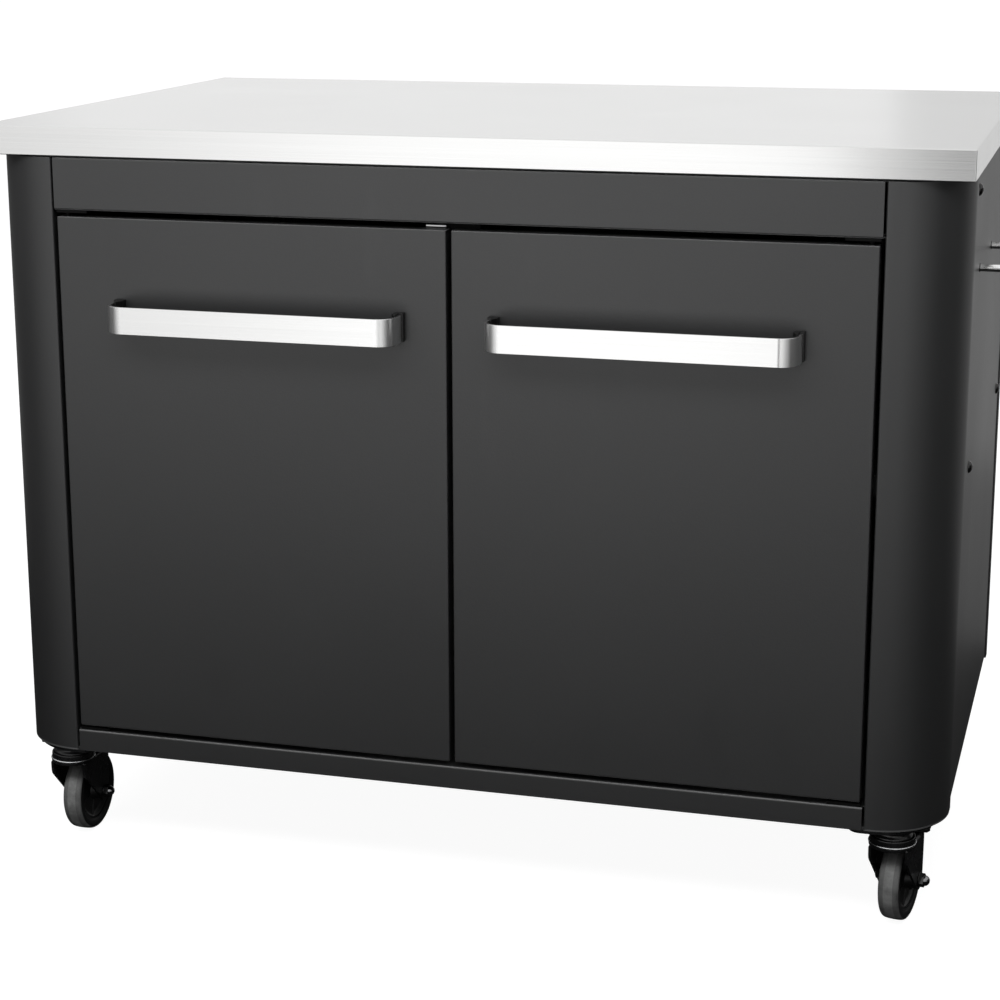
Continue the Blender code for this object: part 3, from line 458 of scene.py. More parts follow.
COAT = powder("coat", (0.0158, 0.0161, 0.0165), 0.43, 850.0, 0.84)
# Painted highlight: a lighter coat for up-facing folds and the band at a post's foot
COAT_PAINTED_HIGHLIGHT = powder("coat_painted_highlight", (0.100, 0.101, 0.102), 0.32, 850.0, 1.0)
COAT_INNER = powder("coat_inner", (0.030, 0.0305, 0.031), 0.52, 700.0)
# Painted highlight: a coat lighter still for the edges that face down
COAT_PAINTED_UNDER_HIGHLIGHT = powder("coat_painted_under_highlight", (0.30, 0.302, 0.305), 0.35, 850.0, 1.0)
STEEL_X = brushed("steel_x", (0.77, 0.77, 0.765), 0.185, "X")
STEEL_Y = brushed("steel_y", (0.77, 0.77, 0.765), 0.185, "Y")
STEEL_HANDLE = brushed("steel_handle", (0.79, 0.79, 0.785), 0.17, "X")
# The handles' bends: a rougher grain along Z, and a colour painted lighter than the strip's as a
# highlight
STEEL_BEND_HIGHLIGHT = brushed("steel_bend_highlight", (0.93, 0.93, 0.925), 0.33, "Z")
STEEL_BAR = plated("steel_bar", (0.90, 0.90, 0.895), 0.13)
ZINC = plated("zinc", (0.62, 0.63, 0.64), 0.30)
# Strike plates: a bright zinc painted on the lip as a highlight, a near-black zinc painted below it
# as shade
ZINC_PAINTED_HIGHLIGHT = plated("zinc_painted_highlight", (0.90, 0.90, 0.90), 0.34)
ZINC_PAINTED_SHADE = plated("zinc_painted_shade", (0.06, 0.06, 0.06), 0.55)
ZINC_RING = plated("zinc_ring", (0.72, 0.73, 0.74), 0.24)
ZINC_DOME = plated("zinc_dome", (0.24, 0.24, 0.245), 0.14)
BLACK_STEEL = enamel("black_steel", (0.007, 0.007, 0.0075), 0.26)
# Painted highlight: a lighter black for the fork legs' bevels and bends
BLACK_PAINTED_HIGHLIGHT = enamel("black_painted_highlight", (0.045, 0.045, 0.046), 0.30)
BLACK_NUT = enamel("black_nut", (0.006, 0.006, 0.006), 0.14)
PLASTIC = moulded("plastic", (0.005, 0.005, 0.005), 0.36, gloss=0.35)
RUBBER = moulded("rubber", (0.018, 0.018, 0.018), 0.70, dust=1.3)
TYRE = moulded("tyre", (0.103, 0.104, 0.103), 0.50, 500.0, 1.35, patches=85.0, low=0.75)
# Painted sheen: a lighter rubber for the middle of the tread, standing in for its reflection
TYRE_PAINTED_SHEEN = moulded("tyre_painted_sheen", (0.165, 0.167, 0.165), 0.52, 500.0, 1.45, patches=85.0,
                     low=0.68)
TYRE_WALL = moulded("tyre_wall", (0.006, 0.006, 0.006), 0.50, 500.0, gloss=0.4)
HUB = moulded("hub_plastic", (0.006, 0.006, 0.006), 0.42)
# Hinges and the door magnet: near-black and almost without sheen, painted shade of the door gaps
# they sit in
CATCH = moulded("catch", (0.002, 0.002, 0.002), 0.60, gloss=0.12)


# ---- cabinet ----
def edged(obj, hem_and_highlight_band=0.0):
    """Paint highlights onto a coated piece's edges.

    The folds along its top and the band at a post's foot are painted lighter as a highlight, and
    the edges facing down lighter still as a painted highlight.
    """
    obj.data.materials.append(COAT_PAINTED_HIGHLIGHT)
    obj.data.materials.append(COAT_PAINTED_UNDER_HIGHLIGHT)

    # Painted highlights: up-facing folds and a post's foot band lighter, down-facing edges lighter
    # still
    def painted_highlight_zone(face):
        if 0.55 < abs(face.normal.z) < 0.97:
            return 1 if face.normal.z > 0 else 2
        return int(face.center.z < hem_and_highlight_band)

    paint(obj, painted_highlight_zone)


def corner_point(sx, rear, o, d):
    return sx * (RAIL_HALF + o), (DEPTH - d if rear else d)


def make_posts():
    """Sheet posts with a rounded outer corner, and a gusset in the foot of each."""
    flat_end = POST_OUT - POST_R
    path = soften([(POST_IN, POST_RETURN), (POST_IN, 0.0), (flat_end, 0.0)], FOLD_R)
    path += arc((flat_end, POST_R), POST_R, -90, 0, 40)[1:]
    rear_part = soften([path[-1], (POST_OUT, POST_SIDE), (POST_OUT - POST_LIP, POST_SIDE)], FOLD_R)
    sheet = ribbon(path + rear_part[1:], POST_T)
    weld = POST_T / 2
    edge = SHEET + FIT
    inner = POST_IN + weld
    gusset = [(GUSSET_IN, edge), (inner, edge), (inner, weld), (flat_end, weld)]
    gusset += arc((flat_end, POST_R), POST_R - weld, -90, 0, 24)[1:]
    gusset += [(POST_OUT - weld, POST_SIDE - weld), (GUSSET_IN, POST_SIDE - weld)]
    # The post is cut at the top of its foot band, which is painted lighter as a highlight
    hem_and_highlight_band = POST_Z0 + POST_HIGHLIGHT_BAND
    for name, sx, rear in CORNERS:
        post = prism([corner_point(sx, rear, o, d) for o, d in sheet], "Z", POST_Z0, POST_Z1)
        bmesh.ops.bisect_plane(post, geom=post.verts[:] + post.edges[:] + post.faces[:],
                               plane_co=(0, 0, hem_and_highlight_band), plane_no=(0, 0, 1))
        obj = laid("coat_post_" + name, post)
        edged(piece(obj, "cabinet", [COAT], ["post_" + name], 0.0008, 3), hem_and_highlight_band)
        foot = prism([corner_point(sx, rear, o, d) for o, d in gusset], "Z",
                     POST_Z0 + 0.0002, POST_Z0 + GUSSET_TOP)
        piece(laid("gusset_" + name, foot), "cabinet", [COAT], (), 0.0004)


def make_rails():
    """Front rails: folded channels whose flanges end in tongues inside the posts."""
    top_z0 = RAIL_LO.z
    low_z1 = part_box("bottom_rail_front")[1].z
    top = [(RAIL_FLANGE, POST_Z1), (0.0, POST_Z1), (0.0, top_z0), (RAIL_FLANGE, top_z0)]
    low = [(RAIL_FLANGE, low_z1), (0.0, low_z1), (0.0, POST_Z0)]
    half = RAIL_HALF + RAIL_END
    tongue_y0, buried = 0.006, 0.001
    for name, path, flanges in (("top_rail_front", top, (POST_Z1 - SHEET, top_z0)),
                                ("bottom_rail_front", low, (low_z1 - SHEET,))):
        parts = [prism(ribbon(soften(path, FOLD_R), SHEET), "X", -RAIL_HALF, RAIL_HALF)]
        for z in flanges:
            for x0 in (-half, RAIL_HALF - buried):
                high = (x0 + RAIL_END + buried, RAIL_FLANGE, z + SHEET)
                parts.append(block((x0, tongue_y0, z), high))
        obj = laid("coat_" + name, merged(parts))
        edged(piece(obj, "cabinet", [COAT], [name], 0.0003))


def tray(name, outline, axis, h0, h1, open_end, thickness, edge_r, segments=4):
    """A folded tray, open at one end, of sheet inside its outer shape."""
    bm = prism(outline, axis, h0, h1)
    index = "XYZ".index(axis)
    gone = [f for f in bm.faces if all(abs(v.co[index] - open_end) < 1e-6 for v in f.verts)]
    bmesh.ops.delete(bm, geom=gone, context="FACES_ONLY")
    obj = laid(name, bm)
    bevel(obj, edge_r, segments)
    return baked(shell(obj, thickness))


def make_sides():
    """Side panels as trays between the posts, with button-head screws and nuts behind them."""
    y0 = POST_SIDE + FIT
    outline = rect(y0, DEPTH - y0, POST_Z0, POST_Z1)
    dome = [(0.0, 0.0043), (0.0024, 0.0042), (0.0036, 0.0039), (0.0050, 0.0032), (0.0061, 0.0022),
            (0.0068, 0.0012), (0.0070, 0.0004), (0.0070, -0.0005), (0.0, -0.0005)]
    for side, sx in (("left", -1), ("right", 1)):
        inner = sx * (SIDE_X - SIDE_FLANGE)
        obj = tray("coat_side_panel_" + side, outline, "X", inner, sx * SIDE_X, inner, SHEET,
                   FOLD_R)
        piece(obj, "cabinet", [COAT], ["side_panel_" + side])
        heads, sockets, nuts = [], [], []
        for y, z in SCREW_AT:
            spot = Matrix.Translation(at(sx * SIDE_X, y, z)) @ Matrix.Rotation(
                0.0 if sx > 0 else math.pi, 4, "Z")
            heads.append(moved(turned(dome, "X", 24, closed=False), spot))
            sockets.append(moved(prism(hexagon(0.0023, 17), "X", 0.0018, 0.006), spot))
            behind = 0.0048 if z == SHELF_SCREW else SHEET
            nut = prism(hexagon(0.0056, 10), "X", -behind - 0.0045, -behind + 0.0002)
            nuts.append(moved(nut, spot))
        screws = plain("screws_" + side, merged(heads))
        boolean(screws, [plain("sockets", merged(sockets))])
        piece(screws, "cabinet", [BLACK_NUT])
        obj = plain("screw_nuts_" + side, merged(nuts))
        piece(obj, "cabinet", [ZINC], (), 0.0004)


# ---- worktop ----
def make_worktop():
    """A folded shell, brushed along its length, with its short sides brushed across."""
    lo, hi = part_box("worktop")
    bm = prism(rect(lo.x, hi.x, lo.y, hi.y), "Z", lo.z, hi.z)
    under = [f for f in bm.faces if f.normal.z < -0.5]
    bmesh.ops.inset_region(bm, faces=under, thickness=WORKTOP_LIP, use_even_offset=True)
    bmesh.ops.delete(bm, geom=under, context="FACES_ONLY")
    obj = bevel(plain("steel_worktop", bm), WORKTOP_EDGE, 5)
    baked(shell(obj, WORKTOP_T))
    piece(obj, "cabinet", [STEEL_X, STEEL_Y], ["worktop"])
    paint(obj, lambda face: int(abs(face.normal.x) > 0.72))


# ---- side bar ----
def make_side_bar():
    """A round bar bent like a U, its ends through the right panel, with collars and nuts."""
    lo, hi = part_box("side_bar")
    z = (lo.z + hi.z) / 2
    x_in, x_out = SIDE_X - 0.010, hi.x - OX - BAR_R
    y0, y1 = lo.y - OY + BAR_NUT_R, hi.y - OY - BAR_NUT_R
    path = [(x_in, y0)] + arc((x_out - BAR_BEND, y0 + BAR_BEND), BAR_BEND, -90, 0, 14)
    path += arc((x_out - BAR_BEND, y1 - BAR_BEND), BAR_BEND, 0, 90, 14) + [(x_in, y1)]
    bm = bmesh.new()
    rings = []
    for i, point in enumerate(path):
        ahead = Vector(path[min(i + 1, len(path) - 1)]) - Vector(path[max(i - 1, 0)])
        side = Vector((ahead.y, -ahead.x)).normalized()
        ring = []
        for k in range(BAR_SIDES):
            a = math.tau * k / BAR_SIDES
            x, y = Vector(point) + side * BAR_R * math.cos(a)
            ring.append(bm.verts.new((x, y, z + BAR_R * math.sin(a))))
        rings.append(ring)
    for low, high in zip(rings, rings[1:]):
        for k in range(BAR_SIDES):
            bm.faces.new((low[k - 1], low[k], high[k], high[k - 1]))
    bm.faces.new(rings[0])
    bm.faces.new(rings[-1])
    bmesh.ops.recalc_face_normals(bm, faces=bm.faces)
    obj = laid("steel_side_bar", bm)
    piece(obj, "cabinet", [STEEL_BAR], ["side_bar"], 0.0004)
    bore, sunk, proud = BAR_R - 0.0003, SIDE_X - 0.0002, SIDE_X + 0.0008
    collar = [(bore, sunk), (0.0050, sunk), (0.0050, SIDE_X + 0.0005), (0.0047, proud),
              (bore, proud)]
    collars = [shifted(turned(collar, "X", 32), at(0, y, z)) for y in (y0, y1)]
    piece(plain("side_bar_collars", merged(collars)), "cabinet", [PLASTIC])
    wall = SIDE_X - SHEET - FIT
    nuts = [shifted(prism(hexagon(BAR_NUT_R, 12), "X", wall - 0.005, wall), at(0, y, z))
            for y in (y0, y1)]
    piece(plain("side_bar_nuts", merged(nuts)), "cabinet", [ZINC], (), 0.0005)


# ---- doors ----
def make_skin(side, sx):
    """Door skin: a tray open to the rear, with the holes of its hinge pins."""
    lo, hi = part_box("door_skin_" + side)
    outline = rect(lo.x - OX, hi.x - OX, lo.z, hi.z)
    back = hi.y - OY
    skin = tray("coat_door_" + side, outline, "Y", 0.0, back, back, DOOR_T, DOOR_FOLD_R, 5)
    pin = at(sx * (RAIL_HALF - DOOR_GAP - PIN_IN), PIN_BACK, 0.0)
    hole = rod(PIN_HOLE_R, lo.z - 0.01, hi.z + 0.01, "Z")
    boolean(skin, [plain("hole", shifted(hole, pin))])
    edged(piece(skin, "door_" + side, [COAT], ["door_skin_" + side]))


def make_handle(side):
    """A flat strip bent back at both ends, and the feet that hold it off the door's skin."""
    body = "door_" + side
    lo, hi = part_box("handle_" + side)
    x0, x1 = lo.x - OX, hi.x - OX
    bend_y, foot_y = HANDLE_OUT + HANDLE_BEND, FOOT_SEAT - FIT
    path = [(x0, foot_y)] + arc((x0 + HANDLE_BEND, bend_y), HANDLE_BEND, 180, 270, 20)
    path += arc((x1 - HANDLE_BEND, bend_y), HANDLE_BEND, 270, 360, 20) + [(x1, foot_y)]
    obj = laid("steel_handle_" + side, prism(ribbon(path, HANDLE_T), "Z", lo.z, hi.z))
    piece(obj, body, [STEEL_HANDLE, STEEL_BEND_HIGHLIGHT], ["handle_" + side], 0.0005, 3)
    # The curved faces of the bends take the lighter steel, a painted highlight
    paint(obj, lambda face: int(abs(face.normal.z) < 0.3 and abs(face.normal.x) > 0.12))
    for end, edge, way in (("left", x0, 1), ("right", x1, -1)):
        heel, toe = edge - way * 0.0022, edge + way * 0.010
        inner = edge + way * (HANDLE_T + FIT)
        foot = [(heel, -FIT), (heel, FOOT_SEAT), (inner, FOOT_SEAT), (inner, FOOT_TIP),
                (edge + way * 0.006, FOOT_TIP), (toe, -0.012), (toe, -FIT)]
        radii = [0, 0.001, 0, 0.0008, 0.0008, 0.002, 0]
        name = "handle_foot_%s_%s" % (side, end)
        foot_z = [corner.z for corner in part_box(name)]
        obj = laid("plastic_" + name, prism(rounded(foot, radii), "Z", *foot_z))
        piece(obj, body, [PLASTIC], [name], 0.0005)


def make_strike(side):
    """Strike plate with a hemmed lip along its top; the lip is painted bright as a highlight and
    the plate below it painted dark as shade.
    """
    lo, hi = (corner - at(0, 0, 0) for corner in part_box("strike_" + side))
    lip = hi.z - 0.0021
    plate = block(lo + Vector((0.0, 0.0004, 0.0)), Vector((hi.x, hi.y, lip)))
    hem_and_highlight_band = prism(rounded(rect(lo.y, hi.y, lip, hi.z), [0.0002, 0.0006, 0.0006, 0.0006], 3),
                "X", lo.x, hi.x)
    obj = laid("zinc_strike_" + side, merged([plate, hem_and_highlight_band]))
    piece(obj, "door_" + side, [ZINC_PAINTED_HIGHLIGHT, ZINC_PAINTED_SHADE], ["strike_" + side], 0.0002)
    # Faces below the lip take the dark zinc, painted shade
    paint(obj, lambda face: int(face.center.z < lip - 0.0001))


def make_doors():
    for side, sx in (("left", -1), ("right", 1)):
        make_skin(side, sx)
        make_handle(side)
        make_strike(side)


# ---- casters ----
def fork_outline(braked):
    """Side view of the fork, as (y, z)."""
    boss = arc((TRAIL, WHEEL_R), LEG_BOSS_R, 215, 375, 18)
    top = HEAD_Z[1]
    outline = [(LEG_HALF, top), (-LEG_HALF, top), (-0.016, 0.089)] + boss
    radii = [0.004, 0.004, 0.012] + [0] * len(boss)
    if braked:
        y, z = PEDAL_AXIS
        outline += [(y + 0.007, z - 0.008), (y + 0.006, z + 0.005), (y - 0.006, z + 0.005)]
        radii = [0] + radii[1:] + [0.006, 0.003, 0.003]
    else:
        outline += [(TRAIL - 0.011, 0.090)]
        radii += [0.012]
    return rounded(outline, radii, 6)


def make_fork(name, braked, spot):
    """Legs and bridge of one bent strip under a turned head with its skirt."""
    low, top = 0.030, HEAD_Z[1] - 0.0002
    path = soften([(-LEG_OUT, low), (-LEG_OUT, top), (LEG_OUT, top), (LEG_OUT, low)], 0.0055, 8)
    arch = plain("arch", prism(ribbon(path, -LEG_T), "Y", -0.025, 0.070))
    boolean(arch, [plain("side", prism(fork_outline(braked), "X", -0.05, 0.05))], "INTERSECT")
    if braked:
        y, z = PEDAL_AXIS
        ear = rounded([(y - 0.008, z - 0.012), (y + 0.0066, z - 0.009), (y + 0.006, z + 0.005),
                       (y - 0.006, z + 0.005)], [0, 0, 0.0035, 0.0035], 5)
        sides = [prism(ear, "X", x0, x0 + LEG_T) for x0 in (-LEG_OUT, LEG_IN)]
        boolean(arch, [plain("ears", merged(sides))], "UNION")
    z0, z1 = HEAD_Z
    disc = [(KING_HOLE_R, z0), (0.0258, z0), (0.0265, z0 + 0.0004), (HEAD_R, z0 + 0.0012),
            (HEAD_R, z1 - 0.0003), (0.0265, z1), (SKIRT_R, z1), (SKIRT_R, SKIRT_TOP - 0.0016),
            (SKIRT_R - 0.0004, SKIRT_TOP - 0.0005), (SKIRT_R - 0.0011, SKIRT_TOP),
            (SKIRT_IN, SKIRT_TOP), (SKIRT_IN, z1), (KING_HOLE_R, z1)]
    arch.name = "fork_body_" + name
    bevel(arch, 0.0006, 2)
    baked(arch)
    boolean(arch, [plain("head", turned(disc, "Z", 48))], "UNION")
    moved_mesh(arch, spot)
    piece(arch, "swivel_" + name, [BLACK_STEEL, BLACK_PAINTED_HIGHLIGHT], ["fork_" + name])
    back = spot.inverted()

    def wear_and_highlight(face):
        """The bevels and bends of the legs are painted lighter as a highlight."""
        here, way = back @ face.center, back.to_3x3() @ face.normal
        leg = abs(here.x) > LEG_IN - 0.0005 and here.z < z0 - 0.001
        return int(leg and 0.3 < abs(way.x) < 0.95)

    paint(arch, wear_and_highlight)


def make_wheel(name, spot):
    """A hub turned in steps, ribbed in the dish of both sides, and a crowned tyre."""
    centre = spot @ Matrix.Translation((0, TRAIL, WHEEL_R))
    half = [(0.0043, 0.0196), (0.0100, 0.0196), (0.0108, 0.0190), (0.0118, 0.0100),
            (0.0135, 0.0082), (0.0288, 0.0060), (0.0314, 0.0066), (0.0337, 0.0090),
            (0.0345, 0.0095), (HUB_R, 0.0095)]
    parts = [turned(half + [(r, -h) for r, h in half[::-1]], "X", 48)]
    for i in range(6):
        for x0, x1 in ((0.0055, 0.0086), (-0.0086, -0.0055)):
            rib = block((x0, 0.0112, -0.0013), (x1, 0.0333, 0.0013))
            parts.append(moved(rib, Matrix.Rotation(math.radians(60 * i + 15), 4, "X")))
    hub = moved_mesh(plain("plastic_hub_" + name, merged(parts)), centre)
    piece(hub, "wheel_" + name, [HUB], ["hub_" + name], 0.0003)
    tread = [(HUB_R + FIT, 0.0109), (0.0387, 0.0115), (0.0391, 0.0112), (0.0397, 0.0118),
             (0.0431, 0.0124), (0.0458, 0.01245), (0.0473, 0.0121), (0.0484, 0.0113),
             (0.0492, 0.0099), (0.0496, 0.0080), (0.04985, 0.0054), (0.04995, 0.0026),
             (0.04995, 0.0004)]
    tyre = turned(tread + [(WHEEL_R, 0.0)] + [(r, -h) for r, h in tread[::-1]], "X", 72)
    obj = moved_mesh(plain("rubber_tyre_" + name, tyre), centre)
    piece(obj, "wheel_" + name, [TYRE, TYRE_WALL, TYRE_PAINTED_SHEEN], ["tyre_" + name])
    back = centre.inverted()

    def zone(face):
        x, y, z = back @ face.center
        # Side wall darker; the crown band lighter, a painted sheen
        if math.hypot(y, z) < WALL_R:
            return 1
        return 2 if abs(x) < CROWN_HALF else 0

    paint(obj, zone)


def make_axle(name, spot):
    """The axle bolt, with a washer and a dome nut whose dome is brighter."""
    leg = LEG_OUT + FIT
    hex_nut = prism(hexagon(0.0083, 12), "X", leg + 0.0006, leg + 0.0060)
    washer = rod(0.0085, leg, leg + 0.0007, "X", 32)
    dome = [(0.0, 0.0118), (0.0024, 0.0115), (0.0042, 0.0105), (0.0056, 0.0088),
            (0.0062, 0.0070), (0.0063, 0.0052), (0.0, 0.0052)]
    cap = turned([(r, leg + h) for r, h in dome], "X", 32, closed=False)
    shaft = rod(0.0039, -leg - 0.001, leg + 0.001, "X")
    head = prism(hexagon(0.0072, 5), "X", -leg - 0.0049, -leg)
    centre = spot @ Matrix.Translation((0, TRAIL, WHEEL_R))
    obj = moved_mesh(plain("steel_axle_" + name, merged([hex_nut, washer, cap, shaft, head])),
                     centre)
    piece(obj, "swivel_" + name, [BLACK_NUT, ZINC_DOME], ["axle_" + name], 0.0005)
    back = centre.inverted()

    def domed(face):
        x, y, z = back @ face.center
        return int(x > leg + 0.0062 and math.hypot(y, z) < 0.0063)

    paint(obj, domed)


def make_plate(name, sx, rear, swivel):
    """Foot plate with a rounded outer corner, the drum-shaped cup under it, and its bolts."""
    outline = arc((-0.002, 0.016), 0.014, 180, 270, 12) + [(0.010, 0.002)]
    for t in range(3, 91, 3):
        a = math.radians(t)
        outline.append((0.010 + 0.074 * math.sin(a), 0.084 - 0.082 * math.cos(a)))
    outline += [(0.084, 0.095), (-0.016, 0.095)]
    top = POST_Z0 - FIT
    low = top - PLATE_T
    plate = prism([corner_point(sx, rear, o, d) for o, d in outline], "Z", low, top)
    parts = [shifted(plate, at(0, 0, 0))]
    cup = [(0.0, low + 0.001), (0.0225, low + 0.001), (0.0225, 0.1285), (0.0208, 0.1268),
           (0.0205, 0.1225), (0.0212, 0.1202), (0.0228, 0.1188), (0.0235, 0.1172),
           (0.0235, RING_Z[0] + 0.0006), (0.0229, RING_Z[0]), (0.006, RING_Z[0]),
           (0.006, HEAD_Z[0] + 0.0008), (0.0054, HEAD_Z[0] + 0.0005), (0.0, HEAD_Z[0] + 0.0005)]
    parts.append(shifted(turned(cup, "Z", 48, closed=False), swivel))
    obj = plain("steel_plate_" + name, merged(parts))
    piece(obj, "cabinet", [BLACK_STEEL], ["caster_plate_" + name], 0.0005)
    above = POST_Z0 + GUSSET_TOP + FIT
    bolts = []
    for i, (o, d) in enumerate(BOLT_AT):
        spot = at(*corner_point(sx, rear, o, d), 0.0)
        for ring, h0, h1 in ((hexagon(BOLT_HEX, 20 + 35 * i), low - 0.005, low - 0.0006),
                             (hexagon(BOLT_HEX, 8 + 25 * i), above, above + 0.0064)):
            bolts.append(shifted(prism(ring, "Z", h0, h1), spot))
        for r, h0, h1 in ((WASHER_R, low - 0.0008, low + 0.0002),
                          (BOLT_R, low - 0.001, above + 0.0085)):
            bolts.append(shifted(rod(r, h0, h1, "Z"), spot))
    obj = plain("plate_bolts_" + name, merged(bolts))
    piece(obj, "cabinet", [BLACK_STEEL], (), 0.0005)


def make_ring(name, spot):
    """The bright ring round the fork's skirt, with a half-round face."""
    inner, z = SKIRT_R + FIT, RING_Z[0]
    ring = [(inner, z), (RING_R - 0.0006, z), (RING_R - 0.0001, z + 0.0004),
            (RING_R, z + 0.0010), (RING_R - 0.0001, z + 0.0016), (RING_R - 0.0006, z + 0.0021),
            (inner, RING_Z[1])]
    obj = moved_mesh(plain("zinc_ring_" + name, turned(ring, "Z", 64)), spot)
    piece(obj, "swivel_" + name, [ZINC_RING], ["caster_ring_" + name])


def make_pedal(name, spot):
    """A bent brake lever on a pin through the fork's ears."""
    y, z = PEDAL_AXIS
    shape = [(-0.006, 0.003), (0.004, 0.0035), (0.017, 0.001), (0.041, -0.0085),
             (0.057, -0.0095), (0.0575, -0.012), (0.0405, -0.0115), (0.019, -0.0035),
             (0.015, -0.0068), (0.007, -0.0041), (-0.005, -0.003)]
    radii = [0.002, 0.003, 0.01, 0.008, 0.001, 0.001, 0.008, 0.003, 0.001, 0.002, 0.002]
    outline = rounded([(y + dy, z + dz) for dy, dz in shape], radii, 4)
    pedal = plain("steel_brake_" + name, prism(outline, "X", -PEDAL_HALF, PEDAL_HALF))
    bevel(pedal, 0.0006, 2)
    baked(pedal)
    half = LEG_OUT + PEDAL_PIN_OUT
    pin = rod(PEDAL_PIN_R, -half, half, "X")
    boolean(pedal, [plain("pin", shifted(pin, (0, y, z)))], "UNION")
    moved_mesh(pedal, spot)
    piece(pedal, "brake_" + name, [BLACK_STEEL], ["brake_" + name])


def make_casters():
    for name, sx, rear in CORNERS:
        swivel = at(*corner_point(sx, rear, SWIVEL_O, SWIVEL_D), 0.0)
        spot = Matrix.Translation(swivel) @ Matrix.Rotation(math.radians(TURNS[name]), 4, "Z")
        make_plate(name, sx, rear, swivel)
        make_fork(name, not rear, spot)
        make_ring(name, spot)
        make_wheel(name, spot)
        make_axle(name, spot)
        if not rear:
            make_pedal(name, spot)


make_posts()
make_rails()
make_sides()
make_worktop()
make_side_bar()
make_doors()
make_casters()

# The frame's own pieces that stay, each with its finish
KEPT = {"floor_pan": COAT_INNER, "shelf": COAT_INNER, "back_panel": COAT_INNER,
        "door_liner_left": COAT_INNER, "door_liner_right": COAT_INNER, "worktop_gasket": RUBBER,
        "shelf_bracket_left": ZINC, "shelf_bracket_right": ZINC, "worktop_stiffener": ZINC,
        "door_magnet": CATCH, "hinge_lower_left": CATCH, "hinge_lower_right": CATCH,
        "hinge_upper_left": CATCH, "hinge_upper_right": CATCH}
for node, finish in KEPT.items():
    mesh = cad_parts[node].data
    mesh.materials.clear()
    mesh.materials.append(finish)


# ---- studio ----
FLOOR_LIFT = 0.94       # strength of the floor round the unit, where it is seen directly
FLOOR_HALF = 40.0
AMBIENT = 0.13          # strength of the world for light that bounces
FRONT_Y, SPLIT_Y, BACK_Y = -2.08, 0.75, 2.0
LEFT_X, RIGHT_X = -3.4, 3.3
CARD_LIFT = 0.003       # of the floor cards


def emitter(name, strength):
    mat = bpy.data.materials.new(name)
    mat.use_nodes = True
    nodes = mat.node_tree.nodes
    nodes.clear()
    out = nodes.new("ShaderNodeOutputMaterial")
    shine = nodes.new("ShaderNodeEmission")
    shine.inputs["Color"].default_value = (1.0, 1.0, 1.0, 1.0)
    shine.inputs["Strength"].default_value = strength
    mat.node_tree.links.new(shine.outputs[0], out.inputs["Surface"])
    return mat


def pane(name, w, h, mat):
    """A flat rectangle of half sizes w and h, facing up."""
    bm = bmesh.new()
    bm.faces.new([bm.verts.new(p) for p in ((-w, -h, 0), (w, -h, 0), (w, h, 0), (-w, h, 0))])
    obj = plain(name, bm)
    obj.data.materials.append(mat)
    return obj


def card(name, centre, size, facing, mat, diffuse=False):
    """A studio card that shiny surfaces reflect and the camera doesn't see."""
    obj = pane(name, size[0] / 2, size[1] / 2, mat)
    turn = Vector(facing).to_track_quat("Z", "Y").to_matrix().to_4x4()
    obj.matrix_world = Matrix.Translation(centre) @ turn
    obj.visible_camera = False
    obj.visible_shadow = False
    obj.visible_diffuse = diffuse


def softbox(name, centre, target, size, power):
    """A lamp for matt surfaces; the cards are what shiny ones reflect."""
    data = bpy.data.lights.new(name, "AREA")
    data.shape = "RECTANGLE"
    data.size, data.size_y = size
    data.energy = power
    obj = bpy.data.objects.new(name, data)
    bpy.context.scene.collection.objects.link(obj)
    obj.location = centre
    obj.rotation_euler = (Vector(target) - Vector(centre)).to_track_quat("-Z", "Y").to_euler()
    obj.visible_glossy = False


def graded(name, level, stops):
    """An emitter whose strength follows stops of (metres along the card, share)."""
    mat = emitter(name, level)
    tree = mat.node_tree
    space = tree.nodes.new("ShaderNodeTexCoord").outputs["Object"]
    split = tree.nodes.new("ShaderNodeSeparateXYZ")
    tree.links.new(space, split.inputs[0])
    first, last = stops[0][0], stops[-1][0]
    along = tree.nodes.new("ShaderNodeMapRange")
    along.inputs["From Min"].default_value = first
    along.inputs["From Max"].default_value = last
    tree.links.new(split.outputs["X"], along.inputs["Value"])
    ramp = tree.nodes.new("ShaderNodeValToRGB")
    points = ramp.color_ramp.elements
    while len(points) < len(stops):
        points.new(0.5)
    for point, (where, share) in zip(points, stops):
        point.position = (where - first) / (last - first)
        point.color = (share, share, share, 1.0)
    tree.links.new(along.outputs["Result"], ramp.inputs[0])
    shine = [node for node in tree.nodes if node.type == "EMISSION"][0]
    tree.links.new(ramp.outputs["Color"], shine.inputs["Color"])
    return mat


def seen(tree, dark, bright):
    """A value that is bright to the camera, metal and glass, and dark to light bouncing round."""
    path = tree.nodes.new("ShaderNodeLightPath")
    direct = path.outputs["Is Camera Ray"]
    for ray in ("Is Glossy Ray", "Is Transmission Ray"):
        either = tree.nodes.new("ShaderNodeMath")
        either.operation = "MAXIMUM"
        tree.links.new(direct, either.inputs[0])
        tree.links.new(path.outputs[ray], either.inputs[1])
        direct = either.outputs[0]
    step = tree.nodes.new("ShaderNodeMapRange")
    step.inputs["To Min"].default_value = dark
    step.inputs["To Max"].default_value = bright
    tree.links.new(direct, step.inputs["Value"])
    return step.outputs["Result"]


